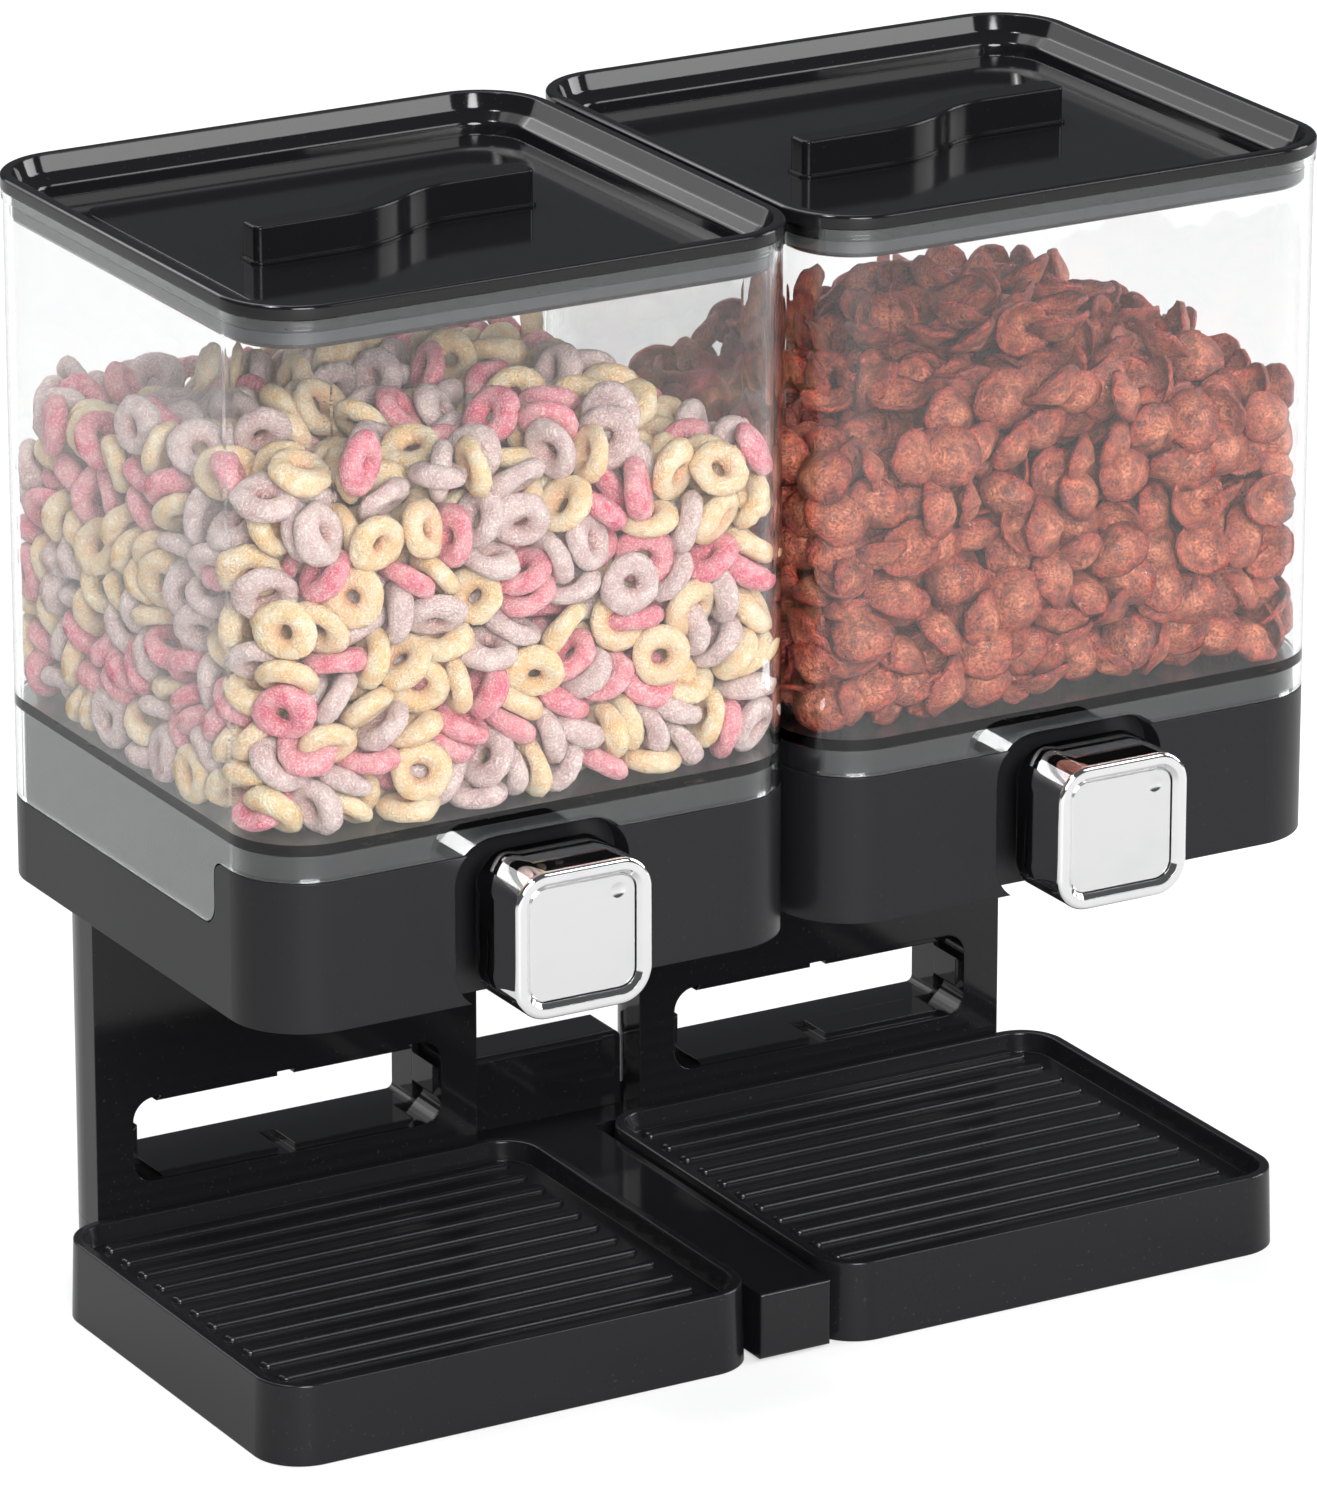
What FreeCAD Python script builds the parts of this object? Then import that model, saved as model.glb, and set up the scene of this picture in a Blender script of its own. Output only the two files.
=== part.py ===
import FreeCAD, Part
import math
import os

# Twin gravity bin for dry food: two clear hoppers over knob-turned paddle wheels, on one stand.
# Millimetres.  X runs across, Y from front to back, Z up from the table.
# Each bin is drawn about its own plan centre and then set out by bin_x and y_shift.

V = FreeCAD.Vector

# ---- Driving dimensions -------------------------------------------------------------------
# Plan of one bin
bin_width = 163.6
bin_depth = 164.0
bin_corner = 21.0
bin_gap = 3.4
# Hopper
hopper_wall = 2.2
hopper_floor = 3.2
hopper_height = 142.5
lip_bead = 0.5
lip_bead_height = 2.4
skirt_front_drop = 10.0
skirt_side_drop = 28.7
skirt_clearance = 0.35
skirt_tab_back_from_corner = 9.0
skirt_tab_round = 6.0
skirt_ear_round = 4.0
scallop_margin = 0.8
mouth_width = 34.0
mouth_length = 58.0
mouth_corner = 6.0
mouth_chamfer = 1.6
collar_wall = 2.0
collar_clearance = 0.4
# Lid
lid_overhang = 0.7
lid_rim_thickness = 4.0
lid_rim_width = 3.2
lid_plug_depth = 8.4
lid_plug_clearance = 0.6
lid_plug_wall = 4.6
lid_wall_slope = 1.8
lid_ledge_drop = 4.4
lid_ledge_fall = 2.8
lid_sheet = 1.6
lid_floor_round = 1.0
lid_ledge_round = 1.6
lid_rim_round = 0.8
lid_panel_margin = 12.0
lid_panel_rise = 0.4
# Soft seal round the plug
seal_height = 3.0
seal_depth = 1.2
seal_proud = 0.25
seal_above_plug_foot = 1.5
# Wave-shaped lid handle
handle_length = 91.0
handle_thickness = 9.0
handle_height = 10.3
handle_sway = 6.65
handle_sway_run = 21.0
handle_end_round = 2.0
handle_top_round = 0.8
handle_foot_step = 0.8
# Casing under the hopper
stand_height = 125.5
casing_height = 48.5
casing_wall = 2.6
casing_deck = 2.6
deck_gap = 0.3
pad_margin = 4.0
pad_thickness = 3.4
# Knob pocket in the casing's front
pocket_side_gap = 5.8
pocket_top_gap = 2.8
pocket_foot_gap = 3.5
pocket_depth = 8.0
pocket_corner = 12.0
# Knob
knob_size = 41.0
knob_depth = 22.2
knob_gap = 0.8
knob_corner = 9.5
knob_edge_round = 1.3
knob_wall = 2.2
knob_boss_radius = 9.0
knob_socket_depth = 14.0
knob_face_margin = 4.3
knob_face_thickness = 1.5
knob_face_inset = 1.4
knob_rim_bevel = 1.3
knob_face_clearance = 0.2
knob_dimple_radius = 2.2
knob_dimple_depth = 0.35
knob_dimple_x = 10.6
knob_dimple_z = 11.4
axis_below_deck = 26.8
# Shaft, bushes and clip
shaft_radius = 4.0
shaft_square = 6.0
square_clearance = 0.1
running_clearance = 0.06
journal_radius = 3.0
bush_wall = 2.5
bush_flange = 3.0
bush_flange_thickness = 1.3
clip_thickness = 1.0
clip_width = 3.2
clip_groove = 0.5
# Paddle wheel and its chamber
wheel_radius = 19.5
wheel_length = 60.0
wheel_hub_radius = 7.0
blade_count = 6
blade_thickness = 2.0
chamber_gap = 0.8
chamber_end_gap = 1.0
chamber_wall = 2.4
chamber_end_wall = 3.0
spout_width = 29.0
spout_wall = 2.5
spout_drop = 6.5
shaft_hole_gap = 0.5
# Plate that closes the casing from below
plate_thickness = 2.0
plate_recess = 2.0
plate_gap = 0.3
plate_boss_radius = 4.0
plate_boss_inset = 16.0
# Screws
screw_radius = 1.5
screw_head_radius = 3.0
screw_head_height = 1.7
screw_grip = 12.0
stand_screw_radius = 2.0
stand_screw_head_radius = 3.6
stand_screw_head_height = 2.6
stand_screw_spread = 40.0
stand_screw_grip = 12.0
stand_screw_flesh = 7.5
screw_fit = 0.1
driver_gap = 0.8
driver_room = 14.0
block_half = 6.0
# Stand
column_pitch = 173.0
column_width = 120.0
column_depth = 27.6
column_back_corner = 20.0
column_proud = 5.0
slot_width = 97.0
slot_height = 25.0
slot_centre_height = 43.2
slot_corner = 6.5
slot_lip = 1.9
slot_lip_setback = 1.6
slot_lip_corner_gap = 7.0
slot_notch_width = 5.2
slot_back_corner = 2.0
column_screw_height = 80.0
column_screw_spread = 38.0
bridge_setback = 11.1
bridge_rise = 22.4
bridge_round = 2.0
bridge_gap = 0.2
# Base
base_height = 20.0
base_lift = 0.8
base_plinth = 13.0
base_inset = 5.0
block_width = 22.2
block_front = 73.5
block_round = 1.0
block_root = 4.0
foot_radius = 5.0
foot_thickness = 2.0
foot_spread = 44.0
foot_front_inset = 12.0
# Trays
tray_width = 149.2
tray_depth = 133.9
tray_height = 23.0
tray_corner = 14.0
tray_draft = 0.7
tray_side_gap = 0.3
tray_back_gap = 0.5
tray_rim = 2.8
tray_well = 5.6
tray_sheet = 2.2
tray_well_draft = 1.2
tray_rim_round = 0.6
rib_count = 12
rib_pitch = 10.4
rib_width = 4.2
rib_height = 1.5
rib_end_gap = 7.2
rib_round = 1.3
stiffener_x_count = 4
stiffener_y_count = 3
stiffener_thickness = 1.6
stiffener_lift = 2.0

# ---- Levels and places that follow ----------------------------------------------------------
bin_x = (bin_width + bin_gap) / 2
half_width = bin_width / 2
half_depth = bin_depth / 2
casing_bottom = stand_height
deck_top = casing_bottom + casing_height
floor_bottom = deck_top + deck_gap
floor_top = floor_bottom + hopper_floor
lip_top = floor_top + hopper_height
skirt_front = floor_top - skirt_front_drop
skirt_side = floor_top - skirt_side_drop
skirt_tab_y = -half_depth + bin_corner + skirt_tab_back_from_corner
core_inset = hopper_wall + skirt_clearance
lid_top = lip_top + lid_rim_thickness
plug_foot = lip_top - lid_plug_depth
lid_floor = plug_foot + lid_sheet
plug_inset = hopper_wall + lid_plug_clearance
axis_z = deck_top - axis_below_deck
pocket_half = knob_size / 2 + pocket_side_gap
pocket_top = axis_z + knob_size / 2 + pocket_top_gap
pocket_bottom = axis_z - knob_size / 2 - pocket_foot_gap
pocket_floor_y = -half_depth + pocket_depth
pad_back_y = pocket_floor_y + pad_thickness
knob_back_y = -half_depth - knob_gap
knob_front_y = knob_back_y - knob_depth
chamber_radius = wheel_radius + chamber_gap
chamber_inner = wheel_length / 2 + chamber_end_gap
chamber_outer = chamber_inner + chamber_end_wall
chamber_top = deck_top - casing_deck
collar_foot = chamber_top + deck_gap
spout_bottom = casing_bottom - spout_drop
spout_half_width = spout_width / 2 + spout_wall
spout_half_length = chamber_inner - 1.0 + spout_wall
plate_bottom = casing_bottom + plate_recess
plate_top = plate_bottom + plate_thickness
hollow_low_top = skirt_side - skirt_clearance - casing_wall
column_x = column_pitch / 2
column_back_y = half_depth + column_proud
column_front_y = column_back_y - column_depth
column_split_y = (column_front_y + column_back_y) / 2
stand_screw_y = column_front_y + stand_screw_flesh
tray_x = block_width / 2 + tray_side_gap + tray_width / 2
tray_back_y = column_front_y - tray_back_gap
tray_y = tray_back_y - tray_depth / 2
tray_floor = tray_height - tray_well
seal_bottom = plug_foot + seal_above_plug_foot
y_shift = (-knob_front_y - column_back_y) / 2

SIDES = {"left": -1, "right": 1}
sharp_corner = 0.2


# ---- Small helpers ---------------------------------------------------------------------------
def box(x0, x1, y0, y1, z0, z1):
    return Part.makeBox(x1 - x0, y1 - y0, z1 - z0, V(x0, y0, z0))


def outline(width, depth, radius, z, x=0.0, y=0.0):
    """A rounded rectangle as a wire, centred on x, y at height z."""
    w, d = width / 2, depth / 2
    r = max(0.05, min(radius, w - 0.05, d - 0.05))
    k = r * (1 - math.sqrt(0.5))
    corners = [
        (V(x + w, y + d - r, z), V(x + w - k, y + d - k, z), V(x + w - r, y + d, z)),
        (V(x - w + r, y + d, z), V(x - w + k, y + d - k, z), V(x - w, y + d - r, z)),
        (V(x - w, y - d + r, z), V(x - w + k, y - d + k, z), V(x - w + r, y - d, z)),
        (V(x + w - r, y - d, z), V(x + w - k, y - d + k, z), V(x + w, y - d + r, z)),
    ]
    edges = []
    for i, (start, middle, end) in enumerate(corners):
        edges.append(Part.Arc(start, middle, end).toShape())
        edges.append(Part.makeLine(end, corners[(i + 1) % 4][0]))
    return Part.Wire(edges)


def slab(width, depth, low, high, radius, x=0.0, y=0.0):
    """An upright block with round corners."""
    return Part.Face(outline(width, depth, radius, low, x, y)).extrude(V(0, 0, high - low))


def tapered(width, depth, low, high, radius, draft, x=0.0, y=0.0):
    """A slab that narrows by draft on each side towards its top."""
    foot = outline(width, depth, radius, low, x, y)
    head = outline(width - 2 * draft, depth - 2 * draft, radius - draft, high, x, y)
    return Part.makeLoft([foot, head], True, True)


def front_slab(width, height, radius, y0, y1, x, z):
    """A round-cornered block seen from the front, from y0 back to y1."""
    flat = Part.Face(outline(width, height, radius, 0.0)).extrude(V(0, 0, y1 - y0))
    flat.rotate(V(0, 0, 0), V(1, 0, 0), -90)
    flat.translate(V(x, y0, z))
    return flat


def rod(radius, y0, y1, x=0.0, z=0.0):
    """A round bar along Y."""
    return Part.makeCylinder(radius, y1 - y0, V(x, y0, z), V(0, 1, 0))


def post(radius, z0, z1, x=0.0, y=0.0):
    """A round bar along Z."""
    return Part.makeCylinder(radius, z1 - z0, V(x, y, z0), V(0, 0, 1))


def side_profile(points, x0, x1):
    """Extrude an outline drawn in Y and Z across X.  A point of four numbers ends an arc."""
    edges = []
    last = V(x0, points[0][0], points[0][1])
    for point in points[1:]:
        end = V(x0, point[-2], point[-1])
        if len(point) == 4:
            edges.append(Part.Arc(last, V(x0, point[0], point[1]), end).toShape())
        else:
            edges.append(Part.makeLine(last, end))
        last = end
    return Part.Face(Part.Wire(edges)).extrude(V(x1 - x0, 0, 0))


def edges_at(shape, test):
    """The edges whose every vertex passes a test of its position."""
    return [e for e in shape.Edges if all(test(v.Point) for v in e.Vertexes)]


def level(z, tolerance=0.01):
    return lambda p: abs(p.z - z) < tolerance


def fuse(shapes):
    whole = shapes[0].fuse(shapes[1:]) if len(shapes) > 1 else shapes[0]
    return whole.removeSplitter()


# ---- Hopper ------------------------------------------------------------------------------------
def skirt_line(clearance):
    """Y and Z points of the skirt's lower edge on the side, from the back to the front."""
    y, low = skirt_tab_y - clearance, skirt_side - clearance
    high = skirt_front - clearance
    k = 1 - math.sqrt(0.5)
    r, e = skirt_tab_round, skirt_ear_round
    return [
        (bin_depth, low),
        (y + r, low),
        (y + r * k, low + r * k, y, low + r),
        (y, high - e),
        (y - e * k, high - e * k, y - e, high),
        (-bin_depth, high),
    ]


def below_skirt():
    """The space under the skirt's edge, taken from a hopper that reaches down to the tabs."""
    points = skirt_line(0.0)
    under = points + [(-bin_depth, skirt_side - 5), (bin_depth, skirt_side - 5), points[0]]
    return side_profile(under, -bin_width, bin_width)


def above_ledge():
    """The space that the skirt needs, with its clearance."""
    points = skirt_line(skirt_clearance)
    above = deck_top + hopper_height
    over = points + [(-bin_depth, above), (bin_depth, above), points[0]]
    return side_profile(over, -bin_width, bin_width)


def make_hopper():
    body = slab(bin_width, bin_depth, skirt_side, lip_top, bin_corner)
    inner_w, inner_d = bin_width - 2 * hopper_wall, bin_depth - 2 * hopper_wall
    inner_r = bin_corner - hopper_wall
    body = fuse([body, slab(bin_width + 2 * lip_bead, bin_depth + 2 * lip_bead, lip_top - lip_bead_height,
                            lip_top, bin_corner + lip_bead)])
    body = body.cut(slab(inner_w, inner_d, floor_top, lip_top + 1, inner_r))
    body = body.cut(slab(inner_w, inner_d, skirt_side - 1, floor_bottom, inner_r))
    body = body.cut(below_skirt())
    scallop_half = pocket_half + scallop_margin
    scallop_height = pocket_top + scallop_margin - pocket_bottom
    body = body.cut(front_slab(2 * scallop_half, scallop_height, pocket_corner + scallop_margin,
                               -half_depth - 1, -half_depth + hopper_wall + 1, 0,
                               (pocket_top + scallop_margin + pocket_bottom) / 2))
    collar = slab(mouth_width + 2 * collar_wall, mouth_length + 2 * collar_wall,
                  collar_foot, floor_bottom + 1, mouth_corner + collar_wall)
    body = fuse([body, collar])
    body = body.cut(slab(mouth_width, mouth_length, collar_foot - 1, floor_top + 1, mouth_corner))
    flare = tapered(mouth_width + 2 * mouth_chamfer, mouth_length + 2 * mouth_chamfer,
                    floor_top - mouth_chamfer, floor_top, mouth_corner + mouth_chamfer, mouth_chamfer)
    flare.rotate(V(0, 0, floor_top - mouth_chamfer / 2), V(1, 0, 0), 180)
    return body.cut(flare)


# ---- Lid -----------------------------------------------------------------------------------------
def lid_well():
    """The recess in the lid: a drafted upper wall, a sloping ledge, then an upright lower wall."""
    wall_foot = lid_top - lid_ledge_drop
    ledge_foot = wall_foot - lid_ledge_fall
    middle_inset = lid_rim_width + lid_wall_slope
    lower_inset = lid_overhang + plug_inset + lid_plug_wall
    width, depth = bin_width + 2 * lid_overhang, bin_depth + 2 * lid_overhang
    radius = bin_corner + lid_overhang
    upper = tapered(width - 2 * lid_rim_width, depth - 2 * lid_rim_width, lid_top, wall_foot,
                    radius - lid_rim_width, lid_wall_slope)
    ledge = tapered(width - 2 * middle_inset, depth - 2 * middle_inset, wall_foot, ledge_foot,
                    radius - middle_inset, lower_inset - middle_inset)
    lower = slab(width - 2 * lower_inset, depth - 2 * lower_inset, lid_floor, ledge_foot,
                 radius - lower_inset)
    lower = lower.makeFillet(lid_floor_round, edges_at(lower, level(lid_floor)))
    return fuse([upper, ledge, lower])


def make_lid():
    width, depth = bin_width + 2 * lid_overhang, bin_depth + 2 * lid_overhang
    rim = slab(width, depth, lip_top, lid_top, bin_corner + lid_overhang)
    plug = slab(bin_width - 2 * plug_inset, bin_depth - 2 * plug_inset, plug_foot, lip_top + 0.5,
                bin_corner - plug_inset)
    body = fuse([rim, plug]).cut(lid_well())
    body = body.makeFillet(lid_rim_round, edges_at(body, level(lid_top)))
    for drop in (lid_ledge_drop, lid_ledge_drop + lid_ledge_fall):
        body = body.makeFillet(lid_ledge_round, edges_at(body, level(lid_top - drop)))
    margin = 2 * (lid_overhang + plug_inset + lid_plug_wall + lid_panel_margin)
    panel = slab(width - margin, depth - margin, lid_floor - 0.5, lid_floor + lid_panel_rise,
                 bin_corner - plug_inset - lid_plug_wall)
    body = fuse([body, panel])
    return body.cut(seal_groove())


def plug_ring(grow_out, depth, low, high):
    """A band round the plug, from depth inside its face to grow_out outside it."""
    outer = slab(bin_width - 2 * (plug_inset - grow_out), bin_depth - 2 * (plug_inset - grow_out),
                 low, high, bin_corner - plug_inset + grow_out)
    inner = slab(bin_width - 2 * (plug_inset + depth), bin_depth - 2 * (plug_inset + depth),
                 low - 1, high + 1, bin_corner - plug_inset - depth)
    return outer.cut(inner)


def seal_groove():
    return plug_ring(1.0, seal_depth, seal_bottom, seal_bottom + seal_height)


def make_seal():
    return plug_ring(seal_proud, seal_depth, seal_bottom, seal_bottom + seal_height)


def wave_edge(offset, length):
    """One long edge of the wave bar: straight, two tangent arcs, straight."""
    run, sway = handle_sway_run, handle_sway
    radius = (run * run + sway * sway) / (2 * sway)
    turn = 2 * math.atan2(sway, run)
    first, second = V(-run, -sway + radius, 0), V(run, sway - radius, 0)
    r1, r2 = radius - offset, radius + offset

    def at(centre, r, angle):
        return centre + V(r * math.cos(angle), r * math.sin(angle), 0)

    down, up = -math.pi / 2, math.pi / 2
    p0, p1 = V(-length / 2, -sway + offset, 0), at(first, r1, down)
    p2, p3 = at(first, r1, down + turn), at(second, r2, up)
    p4 = V(length / 2, sway + offset, 0)
    return [
        Part.makeLine(p0, p1),
        Part.Arc(p1, at(first, r1, down + turn / 2), p2).toShape(),
        Part.Arc(p2, at(second, r2, up + turn / 2), p3).toShape(),
        Part.makeLine(p3, p4),
    ]


def wave_bar(thickness, length, low, high, end_round):
    front = wave_edge(-thickness / 2, length)
    back = wave_edge(thickness / 2, length)
    starts = front[0].Vertexes[0].Point, back[0].Vertexes[0].Point
    ends = front[-1].Vertexes[1].Point, back[-1].Vertexes[1].Point
    wire = Part.Wire(Part.__sortEdges__(front + back + [Part.makeLine(*starts), Part.makeLine(*ends)]))
    bar = Part.Face(wire).extrude(V(0, 0, high - low))
    corners = [e for e in bar.Edges if abs(abs(e.BoundBox.XMin) - length / 2) < 0.01
               and e.BoundBox.ZLength > 0.5 and e.BoundBox.YLength < 0.01]
    bar = bar.makeFillet(end_round, corners)
    bar.translate(V(0, 0, low))
    return bar


def make_handle():
    low = lid_floor + lid_panel_rise
    bar = wave_bar(handle_thickness, handle_length, low, low + handle_height, handle_end_round)
    bar = bar.makeFillet(handle_top_round, edges_at(bar, level(low + handle_height)))
    foot = wave_bar(handle_thickness + 2 * handle_foot_step, handle_length + 2 * handle_foot_step,
                    low, low + handle_foot_step, handle_end_round + handle_foot_step)
    return fuse([bar, foot])


# ---- Casing ------------------------------------------------------------------------------------------
def casing_solid():
    full = slab(bin_width, bin_depth, casing_bottom, deck_top, bin_corner)
    core = slab(bin_width - 2 * core_inset, bin_depth - 2 * core_inset, casing_bottom, deck_top,
                bin_corner - core_inset)
    return fuse([full.cut(above_ledge()), core])


def casing_hollow():
    low_inset = casing_wall
    high_inset = core_inset + casing_wall
    low = slab(bin_width - 2 * low_inset, bin_depth - 2 * low_inset, casing_bottom - 1,
               hollow_low_top, bin_corner - low_inset)
    high = slab(bin_width - 2 * high_inset, bin_depth - 2 * high_inset, casing_bottom - 1,
                deck_top - casing_deck, bin_corner - high_inset)
    return low.fuse(high)


def stand_screw_places(x_centre=0.0):
    return [(x_centre + s * stand_screw_spread, stand_screw_y) for s in (-1, 1)]


def plate_screw_places():
    x, y = half_width - plate_boss_inset, half_depth - plate_boss_inset
    return [(sx * x, sy * y) for sx in (-1, 1) for sy in (-1, 1)]


def casing_bosses(offset):
    """Posts for the plate's screws, and blocks on the back wall that the stand's screws enter."""
    posts = [post(plate_boss_radius, plate_top, deck_top - casing_deck + 0.5, x, y)
             for x, y in plate_screw_places()]
    blocks = [box(x - block_half, x + block_half, y - block_half, half_depth - casing_wall + 0.5,
                  plate_top, plate_top + stand_screw_grip + 3) for x, y in stand_screw_places(offset)]
    return posts + blocks


def make_casing(side):
    offset = side * (column_x - bin_x)
    pad_half = pocket_half + pad_margin
    pad = box(-pad_half, pad_half, -half_depth + casing_wall / 2 + core_inset, pad_back_y,
              casing_bottom, deck_top - casing_deck + 0.5)
    body = fuse([casing_solid().cut(casing_hollow()), pad] + casing_bosses(offset))
    pocket_height = pocket_top - pocket_bottom
    body = body.cut(front_slab(2 * pocket_half, pocket_height, pocket_corner, -half_depth - 1,
                               pocket_floor_y, 0, (pocket_top + pocket_bottom) / 2))
    hole = mouth_width + 2 * (collar_wall + collar_clearance)
    hole_length = mouth_length + 2 * (collar_wall + collar_clearance)
    body = body.cut(slab(hole, hole_length, deck_top - casing_deck - 1, deck_top + 1,
                         mouth_corner + collar_wall + collar_clearance))
    body = body.cut(rod(bush_radius(shaft_radius), pocket_floor_y - 1, pad_back_y + 1, 0, axis_z))
    for x, y in plate_screw_places():
        body = body.cut(post(screw_radius + screw_fit, plate_top - 1, plate_top + screw_grip, x, y))
    for x, y in stand_screw_places(offset):
        body = body.cut(post(stand_screw_radius + screw_fit, plate_top - 1,
                             plate_top + stand_screw_grip, x, y))
    return body


def make_casing_floor(side):
    offset = side * (column_x - bin_x)
    inset = casing_wall + plate_gap
    plate = slab(bin_width - 2 * inset, bin_depth - 2 * inset, plate_bottom, plate_top,
                 bin_corner - inset)
    pad_half = pocket_half + pad_margin + plate_gap
    plate = plate.cut(box(-pad_half, pad_half, -half_depth, pad_back_y + plate_gap,
                          plate_bottom - 1, plate_top + 1))
    plate = plate.cut(slab(2 * (spout_half_width + plate_gap), 2 * (spout_half_length + plate_gap),
                           plate_bottom - 1, plate_top + 1, 1.0))
    for x, y in plate_screw_places():
        plate = plate.cut(post(screw_radius + screw_fit, plate_bottom - 1, plate_top + 1, x, y))
    for x, y in stand_screw_places(offset):
        plate = plate.cut(post(stand_screw_radius + screw_fit, plate_bottom - 1, plate_top + 1, x, y))
    return plate


def screw(radius, head_radius, head_height, length):
    """A pan-head screw that points up, with the seat of its head at the origin."""
    head = Part.makeCylinder(head_radius, head_height, V(0, 0, -head_height))
    head = head.makeFillet(head_height * 0.45, edges_at(head, level(-head_height)))
    cross = head_radius * 1.2
    for w, d in ((cross, 0.7), (0.7, cross)):
        head = head.cut(box(-w / 2, w / 2, -d / 2, d / 2, -head_height - 1, -head_height * 0.4))
    shank = Part.makeCylinder(radius, length - radius, V(0, 0, 0))
    tip = Part.makeCone(radius, radius * 0.3, radius, V(0, 0, length - radius))
    return fuse([head, shank, tip])


def make_casing_screws():
    screws = []
    for x, y in plate_screw_places():
        one = screw(screw_radius, screw_head_radius, screw_head_height,
                    plate_thickness + screw_grip - 1)
        one.translate(V(x, y, plate_bottom))
        screws.append(one)
    return Part.makeCompound(screws)


# ---- Paddle wheel, its chamber and the shaft -----------------------------------------------------
def make_chamber():
    half = chamber_radius + chamber_wall
    body = box(-half, half, -chamber_outer, chamber_outer, axis_z, chamber_top)
    body = body.fuse(rod(half, -chamber_outer, chamber_outer, 0, axis_z))
    spout_top = axis_z - chamber_radius * 0.5
    spout = box(-spout_half_width, spout_half_width, -spout_half_length, spout_half_length,
                spout_bottom, spout_top)
    body = fuse([body, spout])
    body = body.cut(box(-half - 1, half + 1, -chamber_outer - 1, -spout_half_length,
                        casing_bottom - spout_drop - 1, plate_top + plate_gap))
    body = body.cut(box(-half - 1, half + 1, spout_half_length, chamber_outer + 1,
                        casing_bottom - spout_drop - 1, plate_top + plate_gap))
    for s in (-1, 1):
        edge = sorted((s * spout_half_width, s * (half + 1)))
        body = body.cut(box(edge[0], edge[1], -chamber_outer - 1, chamber_outer + 1,
                            casing_bottom - spout_drop - 1, plate_top + plate_gap))
    body = body.cut(rod(chamber_radius, -chamber_inner, chamber_inner, 0, axis_z))
    body = body.cut(slab(mouth_width, mouth_length, axis_z, chamber_top + 1, mouth_corner))
    passage = spout_half_length - spout_wall
    body = body.cut(box(-spout_width / 2, spout_width / 2, -passage, passage,
                        spout_bottom - 1, axis_z))
    body = body.cut(rod(shaft_radius + shaft_hole_gap, -chamber_outer - 1, -chamber_inner + 1, 0, axis_z))
    return body.cut(rod(bush_radius(journal_radius), chamber_inner - 1, chamber_outer + 1, 0, axis_z))


def make_wheel():
    """A hub with soft blades; each blade stands clear of the chamber by chamber_gap."""
    half = wheel_length / 2
    parts = [rod(wheel_hub_radius, -half, half)]
    for i in range(blade_count):
        blade = box(-blade_thickness / 2, blade_thickness / 2, -half, half,
                    wheel_hub_radius - 1, wheel_radius - blade_thickness / 2)
        blade = blade.fuse(rod(blade_thickness / 2, -half, half, 0, wheel_radius - blade_thickness / 2))
        blade.rotate(V(0, 0, 0), V(0, 1, 0), (i + 0.5) * 360.0 / blade_count)
        parts.append(blade)
    wheel = fuse(parts)
    side = shaft_square / 2 + square_clearance
    wheel = wheel.cut(box(-side, side, -half - 1, half + 1, -side, side))
    wheel.translate(V(0, 0, axis_z))
    return wheel


def clip_y():
    return pad_back_y + 0.3


def make_shaft():
    """Square where it drives the knob and the wheel, round in both bushes."""
    side = shaft_square / 2
    socket_end = knob_back_y - knob_socket_depth + 0.5
    rear_end = chamber_outer + bush_flange_thickness + 1.0
    wheel_half = wheel_length / 2
    front_square = box(-side, side, socket_end, knob_back_y, -side, side)
    journal = rod(shaft_radius, knob_back_y, -wheel_half - 0.3)
    drive = box(-side, side, -wheel_half - 0.3, wheel_half + 0.3, -side, side)
    rear = rod(journal_radius, wheel_half + 0.3, rear_end)
    shaft = fuse([front_square, journal, drive, rear])
    groove = rod(shaft_radius + 1, clip_y(), clip_y() + clip_thickness)
    groove = groove.cut(rod(shaft_radius - clip_groove, clip_y() - 1, clip_y() + clip_thickness + 1))
    shaft = shaft.cut(groove)
    shaft.translate(V(0, 0, axis_z))
    return shaft


def make_clip():
    """An open ring sprung into the shaft's groove behind the front bush."""
    inner = shaft_radius - clip_groove + 0.02
    ring = rod(inner + clip_width, clip_y() + 0.1, clip_y() + clip_thickness - 0.1)
    ring = ring.cut(rod(inner, clip_y() - 1, clip_y() + clip_thickness + 1))
    mouth = inner * 0.75
    below = inner + clip_width + 1
    ring = ring.cut(box(-mouth, mouth, clip_y() - 1, clip_y() + clip_thickness + 1, -below, 0))
    ring.translate(V(0, 0, axis_z))
    return ring


def bush_radius(bore):
    """Outside radius of the bush that carries a journal of this radius."""
    return bore + running_clearance + bush_wall


def bush(bore, length):
    """A flanged bush along Y, with its flange's inner face at y = 0 and its body behind."""
    body = rod(bush_radius(bore), 0, length)
    flange = rod(bush_radius(bore) + bush_flange, -bush_flange_thickness, 0)
    return fuse([body, flange]).cut(rod(bore + running_clearance, -bush_flange_thickness - 1, length + 1))


def make_front_bush():
    one = bush(shaft_radius, pad_thickness)
    one.translate(V(0, pocket_floor_y, axis_z))
    return one


def make_rear_bush():
    one = bush(journal_radius, chamber_end_wall)
    one.rotate(V(0, 0, 0), V(0, 0, 1), 180)
    one.translate(V(0, chamber_outer, axis_z))
    return one


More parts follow.
